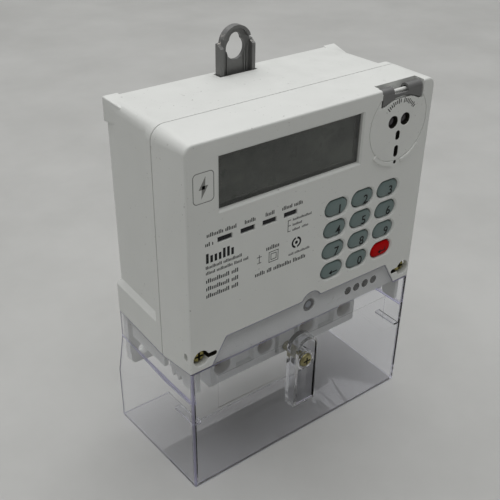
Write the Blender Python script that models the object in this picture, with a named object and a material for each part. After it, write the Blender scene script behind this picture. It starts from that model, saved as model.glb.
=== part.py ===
"""Prepaid electricity meter with keypad, wall-mounted, as separate pieces.

Frame: origin at the middle of the base, on the surface the meter stands on.
+X to the right of a person facing the keypad, +Y to the wall behind, +Z up.
Sizes are in millimetres and become metres in the helpers. "Depth" is measured
back from the plane of the keypad face.
"""
import math

import bmesh
import bpy
from mathutils import Matrix, Vector

MM = 0.001
GAP = 0.3            # left between pieces that touch
PAST = 3.0           # how far a cutter runs past the face it opens

# ---- overall ----
WIDTH = 128.0
DEPTH = 61.5
FRONT = -DEPTH / 2   # plane of the keypad face
BACK = DEPTH / 2     # plane of the wall
HALF = WIDTH / 2
CASE_BOTTOM = 66.5   # lower edge of the keypad face
CASE_TOP = 167.0
FACE_CORNER_R = 3.5
WALL = 2.2
PANEL = 2.6          # thickness of the keypad face
PARTING = 21.4       # depth of the joint between the two case halves
PARTING_GAP = 0.6
RIM_HALF = 64.7      # the walls widen from the face to this joint
RIM_TOP = 167.9
RIM_BOTTOM = 63.9
RIM_CORNER_R = 6.0

# ---- rear case ----
RIM_DEPTH = 25.5
REAR_HALF = 62.5     # rear walls stand in from the rim, and narrow to the back
REAR_HALF_BACK = 60.9
REAR_TOP = 166.4
FOOT_HALF_BACK = 63.2
LEDGE_Z = 79.5
PAD_INNER = 55.0     # pads at the upper rear corners stand a little proud
PAD_HALF = 62.4
PAD_TOP = 167.2
PAD_LOW = 156.5
REAR_WALL = 59.0     # depth of the inner face of the rear wall
REAR_FACE = 61.0     # depth of its outer face
PLATE_BOTTOM = 40.0  # the back plate behind the terminals ends here
LUG_X = 53.0
LUG_WIDTH = 14.0
LUG_BOTTOM = 33.5
LUG_HOLE_Z = 40.5
LUG_HOLE_R = 3.2
SKIRT_BOTTOM = 52.5
SKIRT_HALF = 60.4

# ---- terminal cover ----
COVER_WALL = 1.9
COVER_RECESS = 2.2   # depth of the step in the case that takes its flange
COVER_REAR_HALF = 63.0
FLARE_HALF = 66.2    # half width at the lower rear edge
FLARE_Z = 33.5
SHELF_Z = 50.0
SHELF_WIDTH = 9.0
FLANGE_LOW_X = 54.1
FLANGE_HIGH_X = 46.5
FLANGE_TOP = 79.1
BUMP_R = 6.2
BUMP_Z = 76.3
POCKET_HALF = 6.4
POCKET_DEPTH = 6.0
POCKET_LOW = 19.0
POCKET_HIGH = 60.7
SCREW_Z = 43.2
CABLE_HALF = 38.0
CABLE_FROM = 35.0

# ---- terminal block ----
BLOCK_HALF = 44.3
BLOCK_FRONT = 16.0
BLOCK_REAR = 52.0
BLOCK_LOW = 38.3
BLOCK_HIGH = 78.0
TERMINAL_X = (-37.4, -12.7, 12.7, 37.4)
TERMINAL_Z = 48.9
ACCESS_R = 4.5
WIRE_DEPTH = 32.0
WIRE_R = 3.7
CLAMP_R = 3.2

# ---- keypad ----
KEY_COLUMNS = (11.5, 26.8, 42.1)
KEY_ROWS = (120.4, 110.1, 99.6, 89.3)
KEY_LEGENDS = (("1", "2", "3"), ("4", "5", "6"), ("7", "8", "9"), ("back", "0", "enter"))
KEY_WIDTH = 13.0
KEY_HEIGHT = 8.0
KEY_CLEARANCE = 0.4
KEY_TRAVEL = 1.2

# ---- display ----
WINDOW = (-49.2, 22.6, 137.8, 159.8)   # x from, x to, z from, z to
WINDOW_SET_BACK = 1.4
LIGHT_X = (-46.8, -35.9, -25.1, -14.3)
LIGHT_Z = 125.8
LIGHT_SIZE = (6.9, 2.3)

# ---- optical port ----
PORT_X = 43.9
PORT_Z = 150.4
PORT_R = 16.9
LENS_X = (40.6, 47.9)
LENS_Z = 151.7
LENS_R = 2.75
SLOT_X = 44.3
SLOT_WIDTH = 2.5
SLOTS_Z = ((142.9, 147.2), (135.1, 140.4))

# ---- port flap ----
FLAP_X = (33.3, 56.6)
FLAP_LOW = 159.9
FLAP_ARC_TOP = 163.0
HINGE_DEPTH = 2.75
HINGE_Z = 164.2
BAR_R = 1.1
KNUCKLE_R = 2.45
KNUCKLE_GAP_X = (40.0, 48.3)

# ---- case screws, aux holes, cover switch ----
SEAL_X = 59.0
SEAL_Z = 73.0
SEAL_R = 3.7
AUX_X = (24.0, 29.4, 34.9, 40.4)
AUX_Z = 72.6
AUX_R = 2.05
BUTTON_Z = 74.6
BUTTON_R = 3.0

# ---- hanger ----
HANGER_HALF = 9.2
HANGER_TOP = 186.5
HANGER_LOW = 139.0
HANGER_BACK = 58.5
HANGER_PLATE = 1.6
HANGER_FRONT = 54.6
KEYHOLE_Z = 176.6
KEYHOLE_R = 4.9
KEYHOLE_SLOT_R = 3.2
KEYHOLE_SLOT_Z = 180.1


# ---------------------------------------------------------------- helpers

def clear_scene():
    for obj in list(bpy.data.objects):
        bpy.data.objects.remove(obj, do_unlink=True)


def material(name, colour, roughness, metallic=0.0, alpha=1.0):
    mat = bpy.data.materials.new(name)
    mat.use_nodes = True
    shader = mat.node_tree.nodes["Principled BSDF"]
    shader.inputs["Base Color"].default_value = (*colour, 1.0)
    shader.inputs["Roughness"].default_value = roughness
    shader.inputs["Metallic"].default_value = metallic
    shader.inputs["Alpha"].default_value = alpha
    return mat


def place(x, depth, z):
    """A point in metres from x, depth behind the keypad face, and height."""
    return Vector((x, FRONT + depth, z)) * MM


def finish(name, bm, mat=None, origin=None):
    """Make an object of the mesh, with its origin at a point in metres."""
    bmesh.ops.recalc_face_normals(bm, faces=bm.faces)
    if origin is not None:
        bmesh.ops.translate(bm, verts=bm.verts, vec=-origin)
    mesh = bpy.data.meshes.new(name)
    bm.to_mesh(mesh)
    bm.free()
    obj = bpy.data.objects.new(name, mesh)
    bpy.context.scene.collection.objects.link(obj)
    if mat:
        mesh.materials.append(mat)
    if origin is not None:
        obj.location = origin
    return obj


def prism(bm, outline, to_point, low, high):
    """Extrude a 2-D outline between two levels; to_point(u, v, level) places it."""
    ends = [[bm.verts.new(to_point(u, v, level)) for u, v in outline] for level in (low, high)]
    bm.faces.new(ends[0])
    bm.faces.new(ends[1])
    count = len(outline)
    for i in range(count):
        j = (i + 1) % count
        bm.faces.new((ends[0][i], ends[0][j], ends[1][j], ends[1][i]))


def along_depth(u, v, level):
    return place(u, level, v)


def along_x(u, v, level):
    return place(level, u, v)


def along_z(u, v, level):
    return place(u, v, level)


def slab(bm, outline, front, back):
    """An outline in X and Z, extruded from one depth to another."""
    prism(bm, outline, along_depth, front, back)


def loft(bm, sections):
    """Join outlines of equal count, each given as (points, level, to_point)."""
    rings = [[bm.verts.new(to_point(u, v, level)) for u, v in outline]
             for outline, level, to_point in sections]
    count = len(rings[0])
    for a, b in zip(rings, rings[1:]):
        for i in range(count):
            j = (i + 1) % count
            bm.faces.new((a[i], a[j], b[j], b[i]))
    bm.faces.new(rings[0])
    bm.faces.new(rings[-1])
    bmesh.ops.triangulate(bm, faces=bm.faces)


def tapered(bm, *sections):
    """A loft between (outline, depth) pairs."""
    loft(bm, [(outline, depth, along_depth) for outline, depth in sections])


def block(bm, x, depth, z):
    """A box from three (low, high) pairs."""
    prism(bm, rectangle(x[0], x[1], z[0], z[1]), along_depth, depth[0], depth[1])


def rectangle(u0, u1, v0, v1):
    return [(u0, v0), (u1, v0), (u1, v1), (u0, v1)]


def arc(cu, cv, radius, start, end, steps):
    """Points on an arc, angles in degrees, both ends included."""
    angles = [math.radians(start + (end - start) * i / steps) for i in range(steps + 1)]
    return [(cu + radius * math.cos(a), cv + radius * math.sin(a)) for a in angles]


def circle(cu, cv, radius, steps=16):
    return arc(cu, cv, radius, 0, 360 * (steps - 1) / steps, steps - 1)


def round_top_box(x_half, z0, z1, radius, steps=5):
    """A rectangle about x = 0 whose two upper corners are rounded."""
    right = arc(x_half - radius, z1 - radius, radius, 0, 90, steps)
    left = arc(radius - x_half, z1 - radius, radius, 90, 180, steps)
    return [(-x_half, z0), (x_half, z0)] + right + left


def obround(cx, cz, width, height, steps=8):
    """A flat-sided oval, long along X."""
    reach = (width - height) / 2
    right = arc(cx + reach, cz, height / 2, -90, 90, steps)
    left = arc(cx - reach, cz, height / 2, 90, 270, steps)
    return right + left


def upright_slot(cx, z0, z1, width, steps=6):
    radius = width / 2
    top = arc(cx, z1 - radius, radius, 0, 180, steps)
    low = arc(cx, z0 + radius, radius, 180, 360, steps)
    return top + low


def boolean(target, operation, name, build):
    """Cut or join a shape that build(bm) makes; the shape stays as a hidden guide."""
    bm = bmesh.new()
    build(bm)
    guide = finish(name, bm)
    guide.hide_render = True
    guide.display_type = "WIRE"
    modifier = target.modifiers.new(name, "BOOLEAN")
    modifier.operation = operation
    modifier.solver = "EXACT"
    modifier.object = guide
    return guide


def cut(target, name, build):
    return boolean(target, "DIFFERENCE", name, build)


def add(target, name, build):
    return boolean(target, "UNION", name, build)


def piece(name, mat, build, origin=None, smooth=False):
    bm = bmesh.new()
    build(bm)
    obj = finish(name, bm, mat, origin)
    if smooth:
        obj.data.shade_smooth()
        obj.data.set_sharp_from_angle(angle=math.radians(35))
    return obj


def turned(bm, cx, cz, profile, steps=16):
    """Turn (depth, radius) points about a line through cx, cz along the depth."""
    rings = []
    for depth, radius in profile:
        rings.append([bm.verts.new(place(u, depth, v)) for u, v in circle(cx, cz, radius, steps)])
    for low, high in zip(rings, rings[1:]):
        for i in range(steps):
            j = (i + 1) % steps
            bm.faces.new((low[i], low[j], high[j], high[i]))
    bm.faces.new(rings[0])
    bm.faces.new(rings[-1])


# ---------------------------------------------------------------- materials

WHITE = material("white_plastic", (0.62, 0.63, 0.60), 0.5)
DARK = material("dark_grey_plastic", (0.10, 0.10, 0.105), 0.45)
CLEAR = material("clear_polycarbonate", (0.85, 0.87, 0.95), 0.08, alpha=0.3)
KEY_GREY = material("grey_rubber", (0.17, 0.22, 0.22), 0.55)
KEY_RED = material("red_rubber", (0.45, 0.0, 0.01), 0.45)
SMOKED = material("smoked_window", (0.05, 0.055, 0.05), 0.2)
GLASS = material("display_glass", (0.12, 0.13, 0.12), 0.1)
SEAL = material("seal_rubber", (0.12, 0.12, 0.12), 0.8)
BRASS = material("brass", (0.62, 0.48, 0.20), 0.35, 1.0)
STEEL = material("zinc_steel", (0.55, 0.55, 0.55), 0.35, 1.0)
COPPER = material("copper", (0.65, 0.33, 0.20), 0.4, 1.0)
BOARD = material("circuit_board", (0.03, 0.16, 0.06), 0.5)
BLACK = material("black_plastic", (0.02, 0.02, 0.02), 0.5)
LIGHT_GUIDE = material("light_guide", (0.75, 0.77, 0.78), 0.3)


# ---------------------------------------------------------------- case

def make_rear_case():
    """Shell open to the front, with a flush rim, back plate, lugs and side skirts."""
    start = PARTING + PARTING_GAP / 2
    low = RIM_BOTTOM

    def body(bm):
        radius = RIM_CORNER_R - 1.5
        tapered(bm, (round_top_box(REAR_HALF, low + 0.5, REAR_TOP, radius), start + 0.5),
                (round_top_box(REAR_HALF_BACK, low + 0.5, REAR_TOP, radius), REAR_FACE))

    case = piece("rear_case", WHITE, body)

    add(case, "rear_rim", lambda bm: slab(
        bm, round_top_box(RIM_HALF, low, RIM_TOP, RIM_CORNER_R), start, RIM_DEPTH))
    add(case, "rear_foot", lambda bm: tapered(
        bm, (rectangle(-RIM_HALF + 0.1, RIM_HALF - 0.1, low + 0.1, LEDGE_Z), RIM_DEPTH - 0.5),
        (rectangle(-FOOT_HALF_BACK, FOOT_HALF_BACK, low + 0.1, LEDGE_Z), DEPTH)))

    def corner_pads(bm):
        for side in (-1, 1):
            inner = side * PAD_INNER
            hidden, hidden_top = side * (REAR_HALF_BACK - 1.0), REAR_TOP - 1.0
            front = [(inner, PAD_LOW + 2), (hidden, PAD_LOW + 2), (hidden, hidden_top), (inner, hidden_top)]
            proud = side * PAD_HALF
            rear = [(inner, PAD_LOW), (proud, PAD_LOW), (proud, PAD_TOP), (inner, PAD_TOP)]
            tapered(bm, (front, 50.0), (rear, 58.0), (rear, DEPTH))

    add(case, "rear_corner_pads", corner_pads)

    cut(case, "rear_hollow", lambda bm: tapered(
        bm, (rectangle(WALL - REAR_HALF, REAR_HALF - WALL, low + WALL, REAR_TOP - WALL), start - PAST),
        (rectangle(WALL - REAR_HALF_BACK, REAR_HALF_BACK - WALL, low + WALL, REAR_TOP - WALL), REAR_WALL)))
    cut(case, "rear_rim_hollow", lambda bm: block(
        bm, (WALL - RIM_HALF, RIM_HALF - WALL), (start - PAST, RIM_DEPTH - 0.8),
        (low + WALL, RIM_TOP - WALL)))

    def back_plate(bm):
        edge = SKIRT_HALF
        outline = [(-edge, low + 1.0), (-edge, PLATE_BOTTOM)]
        for side in (-1, 1):
            a, b = side * LUG_X - LUG_WIDTH / 2, side * LUG_X + LUG_WIDTH / 2
            outline += [(a, PLATE_BOTTOM), (a + 2, LUG_BOTTOM), (b - 2, LUG_BOTTOM), (b, PLATE_BOTTOM)]
        outline += [(edge, PLATE_BOTTOM), (edge, low + 1.0)]
        slab(bm, outline, 57.0, DEPTH - 0.2)

    add(case, "rear_back_plate", back_plate)

    def skirts(bm):
        for side in (-1, 1):
            profile = [(RIM_DEPTH, low + 1), (RIM_DEPTH, SKIRT_BOTTOM + 3)]
            profile += [(RIM_DEPTH + 3, SKIRT_BOTTOM), (47.0, SKIRT_BOTTOM)]
            profile += arc(47.0, SKIRT_BOTTOM + 4, 4.0, -90, 0, 4)[1:] + [(51.0, low + 1)]
            prism(bm, profile, along_x, side * (SKIRT_HALF - 2.0), side * SKIRT_HALF)

    add(case, "rear_skirts", skirts)

    cut(case, "rear_block_way", lambda bm: block(
        bm, (-BLOCK_HALF - 0.6, BLOCK_HALF + 0.6), (start - PAST, BLOCK_REAR + 0.6),
        (low - PAST, low + WALL + PAST)))

    def hanger_guides(bm):
        for side in (-1, 1):
            block(bm, tuple(sorted((side * 9.7, side * 11.2))), (53.4, REAR_WALL + 0.5), (112.0, 164.5))

    add(case, "rear_hanger_guides", hanger_guides)
    cut(case, "rear_hanger_slot", lambda bm: block(
        bm, (-HANGER_HALF - 0.8, HANGER_HALF + 0.8), (HANGER_FRONT - 0.7, REAR_WALL),
        (REAR_TOP - WALL - PAST, REAR_TOP + PAST)))

    def lug_holes(bm):
        for side in (-1, 1):
            slab(bm, circle(side * LUG_X, LUG_HOLE_Z, LUG_HOLE_R, 12), 57.0 - PAST, DEPTH + PAST)

    cut(case, "rear_lug_holes", lug_holes)

    def screw_bosses(bm):
        for side in (-1, 1):
            slab(bm, circle(side * SEAL_X, SEAL_Z, 3.6, 12), RIM_DEPTH - 0.6, REAR_WALL + 0.5)

    def screw_holes(bm):
        for side in (-1, 1):
            slab(bm, circle(side * SEAL_X, SEAL_Z, 2.0, 10), RIM_DEPTH - PAST, 32.0)

    add(case, "rear_screw_bosses", screw_bosses)
    cut(case, "rear_screw_holes", screw_holes)
    return case


def flange_outline(shrink=0.0):
    """The stepped area at the foot of the keypad face, with its round bump."""
    reach = BUMP_R - shrink
    top = FLANGE_TOP - shrink
    rise = math.degrees(math.asin((top - BUMP_Z) / reach))
    low_x, high_x = FLANGE_LOW_X - shrink, FLANGE_HIGH_X - shrink
    outline = [(low_x, CASE_BOTTOM), (high_x, top)]
    outline += arc(0, BUMP_Z, reach, rise, 180 - rise, 8)
    outline += [(-high_x, top), (-low_x, CASE_BOTTOM)]
    return outline


def keys():
    """Every key with its column, row and legend."""
    for row, legends in zip(KEY_ROWS, KEY_LEGENDS):
        for column, legend in zip(KEY_COLUMNS, legends):
            yield column, row, legend


def flap_outline(grow=0.0):
    """The flap's front plate: straight sides and a lower edge round the port."""
    x0, x1 = FLAP_X[0] - grow, FLAP_X[1] + grow
    half = (x1 - x0) / 2
    middle = (x0 + x1) / 2
    rise = FLAP_ARC_TOP - FLAP_LOW
    radius = (half * half + rise * rise) / (2 * rise)
    spread = math.degrees(math.asin(half / radius))
    edge = arc(middle, FLAP_ARC_TOP - radius - grow, radius, 90 - spread, 90 + spread, 8)
    return [(x0, HINGE_Z)] + [(x1, HINGE_Z)] + edge


def make_front_cover():
    """The keypad face and its walls, with every opening in it."""
    low, top = CASE_BOTTOM, CASE_TOP
    end = PARTING - PARTING_GAP / 2
    step_back = COVER_RECESS + PANEL
    cover = piece("front_cover", WHITE, lambda bm: tapered(
        bm, (round_top_box(HALF, low, top, FACE_CORNER_R), 0.0),
        (round_top_box(RIM_HALF, RIM_BOTTOM, RIM_TOP, RIM_CORNER_R), end)))
    edge = cover.modifiers.new("face_edge", "BEVEL")
    edge.width = 0.8 * MM
    edge.segments = 1
    edge.limit_method = "ANGLE"
    edge.angle_limit = math.radians(60)

    inner = HALF - WALL
    cut(cover, "cover_hollow", lambda bm: block(
        bm, (-inner, inner), (9.0, end + PAST), (low + WALL, top - WALL)))
    cut(cover, "cover_hollow_left", lambda bm: block(
        bm, (-inner, 30.5), (PANEL, 10.0), (84.5, top - WALL)))
    cut(cover, "cover_hollow_right", lambda bm: block(
        bm, (30.0, inner), (PANEL, 10.0), (84.5, 157.0)))
    cut(cover, "cover_hollow_low", lambda bm: block(
        bm, (-53.0, 53.0), (step_back, 10.0), (low + WALL, 85.0)))
    cut(cover, "cover_step", lambda bm: slab(
        bm, [(FLANGE_LOW_X, low - PAST)] + flange_outline() + [(-FLANGE_LOW_X, low - PAST)],
        -PAST, COVER_RECESS))
    cut(cover, "cover_block_way", lambda bm: block(
        bm, (-BLOCK_HALF - 0.6, BLOCK_HALF + 0.6), (BLOCK_FRONT - 0.6, end + PAST),
        (RIM_BOTTOM - PAST, low + WALL + PAST)))

    def openings(bm):
        slab(bm, rectangle(*WINDOW), -PAST, PANEL + PAST)
        for column, row, _ in keys():
            slab(bm, obround(column, row, KEY_WIDTH, KEY_HEIGHT), -PAST, PANEL + 1.0)
        for x in LIGHT_X:
            wide, tall = LIGHT_SIZE
            outline = rectangle(x - wide / 2, x + wide / 2, LIGHT_Z - tall / 2, LIGHT_Z + tall / 2)
            slab(bm, outline, -PAST, PANEL + PAST)
        for x in LENS_X:
            slab(bm, circle(x, LENS_Z, LENS_R), -PAST, PANEL + PAST)
        for z0, z1 in SLOTS_Z:
            slab(bm, upright_slot(SLOT_X, z0, z1, SLOT_WIDTH), -PAST, PANEL + PAST)
        for x in AUX_X:
            slab(bm, circle(x, AUX_Z, AUX_R, 12), -PAST, step_back + 1.0)
        slab(bm, circle(0, BUTTON_Z, BUTTON_R + GAP), -PAST, step_back + 1.0)

    cut(cover, "cover_openings", openings)

    def screw_wells(bm):
        for side in (-1, 1):
            turned(bm, side * SEAL_X, SEAL_Z, ((-PAST, SEAL_R), (7.0, SEAL_R)), 14)
            turned(bm, side * SEAL_X, SEAL_Z, ((7.5, 2.1), (end + PAST, 2.1)), 10)

    cut(cover, "cover_screw_wells", screw_wells)

    def screw_ways(bm):
        for side in (-1, 1):
            turned(bm, side * SEAL_X, SEAL_Z, ((6.0, 2.1), (9.0, 2.1)), 10)
            block(bm, tuple(sorted((side * 51.0, side * 56.5))), (-PAST, 1.8),
                  (SEAL_Z - 1.2, SEAL_Z + 1.2))

    cut(cover, "cover_screw_ways", screw_ways)

    cut(cover, "cover_flap_bed", lambda bm: slab(
        bm, flap_outline(0.5) + [(FLAP_X[0] - 0.5, HINGE_Z)], -PAST, 2.2))
    cut(cover, "cover_hinge_bed", lambda bm: block(
        bm, (FLAP_X[0] - 0.5, FLAP_X[1] + 0.5), (-PAST, HINGE_DEPTH + KNUCKLE_R + 0.4),
        (HINGE_Z - KNUCKLE_R - 0.4, top + PAST)))

    def hinge_bar(bm):
        prism(bm, circle(HINGE_DEPTH, HINGE_Z, BAR_R, 12), along_x, FLAP_X[0] - 2, FLAP_X[1] + 2)

    add(cover, "cover_hinge_bar", hinge_bar)
    return cover


def make_case_seal():
    """Rubber ring that closes the joint between the case halves."""
    outer = HALF - WALL - GAP
    inner = outer - 1.6
    low, top = CASE_BOTTOM + WALL + GAP + 12.0, CASE_TOP - WALL - GAP
    seal = piece("case_seal", SEAL, lambda bm: slab(
        bm, rectangle(-outer, outer, low, top), PARTING - 1.5, PARTING + 2.6))
    cut(seal, "seal_hollow", lambda bm: block(
        bm, (-inner, inner), (0.0, 40.0), (low + 1.6, top - 1.6)))
    return seal


# ---------------------------------------------------------------- display

def make_display():
    x0, x1, z0, z1 = WINDOW
    window = piece("display_window", SMOKED, lambda bm: block(
        bm, (x0 - 1.5, x1 + 1.5), (PANEL + GAP, PANEL + 1.3), (z0 - 1.5, z1 + 1.5)))
    add(window, "window_face", lambda bm: block(
        bm, (x0 + GAP, x1 - GAP), (WINDOW_SET_BACK, PANEL + 0.6), (z0 + GAP, z1 - GAP)))

    frame = piece("display_frame", BLACK, lambda bm: block(
        bm, (x0 - 4.0, x1 + 4.0), (PANEL + 1.7, PANEL + 6.0), (z0 - 4.0, z1 + 3.6)))
    cut(frame, "frame_hollow", lambda bm: block(
        bm, (x0 - 2.0, x1 + 2.0), (0.0, 20.0), (z0 - 2.0, z1 + 2.0)))
    piece("display_glass", GLASS, lambda bm: block(
        bm, (x0 - 1.7, x1 + 1.7), (PANEL + 1.7, PANEL + 3.8), (z0 - 1.7, z1 + 1.7)))
    piece("display_backlight", LIGHT_GUIDE, lambda bm: block(
        bm, (x0 - 1.7, x1 + 1.7), (PANEL + 4.1, PANEL + 5.8), (z0 - 1.7, z1 + 1.7)))


def make_status_lights():
    wide, tall = LIGHT_SIZE
    for number, x in enumerate(LIGHT_X, 1):
        half_x, half_z = wide / 2 - GAP, tall / 2 - GAP
        piece(f"status_light_{number}", SMOKED, lambda bm, x=x: block(
            bm, (x - half_x, x + half_x), (0.6, 7.5), (LIGHT_Z - half_z, LIGHT_Z + half_z)))


# ---------------------------------------------------------------- keypad

def make_keys():
    """Each cap has its origin on the line that it travels along."""
    for column, row, legend in keys():
        colour = KEY_RED if legend == "enter" else KEY_GREY
        wide, tall = KEY_WIDTH - 2 * KEY_CLEARANCE, KEY_HEIGHT - 2 * KEY_CLEARANCE

        def cap(bm):
            rings = []
            for grow, depth in ((-1.2, 0.05), (0.0, 0.6), (0.0, 3.0), (1.6, 3.0), (1.6, 3.8)):
                outline = obround(column, row, wide + grow, tall + grow, 5)
                rings.append([bm.verts.new(place(u, depth, v)) for u, v in outline])
            count = len(rings[0])
            for a, b in zip(rings, rings[1:]):
                for i in range(count):
                    j = (i + 1) % count
                    bm.faces.new((a[i], a[j], b[j], b[i]))
            bm.faces.new(rings[0])
            bm.faces.new(rings[-1])

        piece(f"key_{legend}", colour, cap, place(column, 3.0, row), smooth=True)


def make_keypad_mat():
    piece("keypad_mat", KEY_GREY, lambda bm: block(
        bm, (3.0, 51.0), (3.8 + KEY_TRAVEL + GAP, 7.6), (85.5, 125.5)))


# ---------------------------------------------------------------- optical port and flap

def make_port():
    for side, x in zip(("left", "right"), LENS_X):
        piece(f"port_lens_{side}", SMOKED, lambda bm, x=x: turned(
            bm, x, LENS_Z, ((1.9, LENS_R - GAP), (7.5, LENS_R - GAP)), 14), smooth=True)
    plate = piece("port_magnet_plate", STEEL, lambda bm: turned(
        bm, PORT_X, 140.0, ((PANEL + GAP, 14.5), (PANEL + 1.3, 14.5)), 24))
    cut(plate, "plate_hollow", lambda bm: slab(
        bm, [(28.0, 138.0), (37.5, 131.5), (51.0, 131.5), (62.0, 138.0), (62.0, 170.0), (28.0, 170.0)],
        0.0, 10.0))


def make_port_flap():
    """The flap turns on the bar that the front cover carries."""
    axis = place((FLAP_X[0] + FLAP_X[1]) / 2, HINGE_DEPTH, HINGE_Z)
    plate_front = HINGE_DEPTH - KNUCKLE_R

    def plate(bm):
        outline = [(x, z) for x, z in flap_outline()[2:]]
        outline += [(FLAP_X[0], HINGE_Z - 0.4), (FLAP_X[1], HINGE_Z - 0.4)]
        slab(bm, outline, plate_front, plate_front + 1.0)

    flap = piece("port_flap", DARK, plate)

    def knuckles(bm):
        for x0, x1 in ((FLAP_X[0], KNUCKLE_GAP_X[0]), (KNUCKLE_GAP_X[1], FLAP_X[1])):
            prism(bm, circle(HINGE_DEPTH, HINGE_Z, KNUCKLE_R, 16), along_x, x0, x1)

    add(flap, "flap_knuckles", knuckles)
    cut(flap, "flap_bore", lambda bm: prism(
        bm, circle(HINGE_DEPTH, HINGE_Z, BAR_R + GAP, 12), along_x, FLAP_X[0] - 5, FLAP_X[1] + 5))
    hinge = bpy.data.objects.new("port_flap_axis", None)
    hinge.location = axis
    bpy.context.scene.collection.objects.link(hinge)
    flap.parent = hinge
    flap.matrix_parent_inverse = Matrix.Translation(-axis)
    return flap


# ---------------------------------------------------------------- hanger

def make_hanger():
    """A channel with an arched, keyholed head that slides down behind the case."""
    arch_r = HANGER_HALF - 1.2
    spring = HANGER_TOP - arch_r

    def plate(bm):
        outline = [(-HANGER_HALF, HANGER_LOW), (HANGER_HALF, HANGER_LOW), (HANGER_HALF, spring - 2)]
        outline += arc(0, spring, arch_r, 0, 180, 12)
        outline += [(-HANGER_HALF, spring - 2)]
        slab(bm, outline, HANGER_BACK - HANGER_PLATE, HANGER_BACK)

    hanger = piece("hanger_tab", DARK, plate)

    def sides(bm):
        for side in (-1, 1):
            profile = [(HANGER_FRONT, HANGER_LOW), (HANGER_BACK - 0.5, HANGER_LOW)]
            profile += [(HANGER_BACK - 0.5, spring - 1.5), (HANGER_FRONT, spring - 4.0)]
            prism(bm, profile, along_x, side * (HANGER_HALF - 1.7), side * HANGER_HALF)

    add(hanger, "hanger_sides", sides)

    def keyhole(bm):
        neck = math.degrees(math.asin(KEYHOLE_SLOT_R / KEYHOLE_R))
        outline = arc(0, KEYHOLE_Z, KEYHOLE_R, 90 + neck, 450 - neck, 14)
        outline += arc(0, KEYHOLE_SLOT_Z, KEYHOLE_SLOT_R, 0, 180, 6)
        slab(bm, outline, HANGER_FRONT - PAST, HANGER_BACK + PAST)

    cut(hanger, "hanger_keyhole", keyhole)
    return hanger


# ---------------------------------------------------------------- terminals

def make_terminal_block():
    low = BLOCK_LOW
    body = piece("terminal_block", WHITE, lambda bm: block(
        bm, (-BLOCK_HALF, BLOCK_HALF), (BLOCK_FRONT, BLOCK_REAR), (low, BLOCK_HIGH)))

    def pockets(bm):
        for x in TERMINAL_X:
            block(bm, (x - 4.6, x + 4.6), (WIRE_DEPTH - 7.4, WIRE_DEPTH + 6.4), (41.0, 61.0))

    cut(body, "block_pockets", pockets)

    def ways(bm):
        for x in TERMINAL_X:
            turned(bm, x, TERMINAL_Z, ((BLOCK_FRONT - PAST, ACCESS_R), (WIRE_DEPTH - 5.0, ACCESS_R)), 16)

    cut(body, "block_access", ways)

    def wire_ways(bm):
        for x in TERMINAL_X:
            prism(bm, circle(x, WIRE_DEPTH, WIRE_R, 16), along_z, low - PAST, 43.0)
            block(bm, (x - 3.4, x + 3.4), (WIRE_DEPTH + 3.6, WIRE_DEPTH + 5.8), (60.0, BLOCK_HIGH + PAST))

    cut(body, "block_wire_ways", wire_ways)

    def face_recesses(bm):
        for left, right in zip(TERMINAL_X, TERMINAL_X[1:]):
            if left < 0 < right:
                continue
            a, b = left + 7.0, right - 7.0
            slab(bm, [(a, 43.5), (b, 43.5), (b, 53.5), (a, 53.5)], BLOCK_FRONT - PAST, BLOCK_FRONT + 2.0)
        slab(bm, circle(0, SCREW_Z, 2.6, 12), BLOCK_FRONT - PAST, BLOCK_FRONT + 12.0)
        block(bm, (-BLOCK_HALF - PAST, BLOCK_HALF + PAST), (BLOCK_FRONT - PAST, BLOCK_FRONT + 1.5),
              (low - PAST, low + 1.8))

    cut(body, "block_face", face_recesses)
    return body


def make_terminals():
    """Four cage clamps with a bus tongue each, and the screws that close them."""
    for number, x in enumerate(TERMINAL_X, 1):
        clamp = piece(f"terminal_clamp_{number}", BRASS, lambda bm, x=x: block(
            bm, (x - 4.2, x + 4.2), (WIRE_DEPTH - 6.9, WIRE_DEPTH + 5.9), (41.4, 60.5)))
        add(clamp, f"clamp_tongue_{number}", lambda bm, x=x: block(
            bm, (x - 3.0, x + 3.0), (WIRE_DEPTH + 4.0, WIRE_DEPTH + 5.5), (60.0, 86.0)))
        cut(clamp, f"clamp_bore_{number}", lambda bm, x=x: prism(
            bm, circle(x, WIRE_DEPTH, CLAMP_R, 14), along_z, 38.0, 57.0))
        cut(clamp, f"clamp_thread_{number}", lambda bm, x=x: turned(
            bm, x, TERMINAL_Z, ((WIRE_DEPTH - 10.0, 2.9), (WIRE_DEPTH - 1.0, 2.9)), 12))
        piece(f"terminal_screw_{number}", BRASS, lambda bm, x=x: turned(
            bm, x, TERMINAL_Z, ((WIRE_DEPTH - 11.5, 3.6), (WIRE_DEPTH - 7.3, 3.6),
                                (WIRE_DEPTH - 7.3, 2.5), (WIRE_DEPTH - 3.6, 2.5)), 14), smooth=True)


# ---------------------------------------------------------------- terminal cover

def cover_shell(bm, shrink, low, high, rear):
    """Shell levels that widen to the rear below the flare line."""
    levels = ((low, FLARE_HALF), (FLARE_Z, FLARE_HALF), (SHELF_Z, COVER_REAR_HALF), (high, COVER_REAR_HALF))
    sections = []
    for z, rear_half in levels:
        ring = []
        for side in (1, -1):
            corners = [(side * (HALF - shrink), shrink), (side * (RIM_HALF - shrink), PARTING),
                       (side * (rear_half - shrink), rear)]
            ring += corners[::side]
        sections.append((ring, z, lambda x, depth, level: place(x, depth, level)))
    loft(bm, sections)


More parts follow.
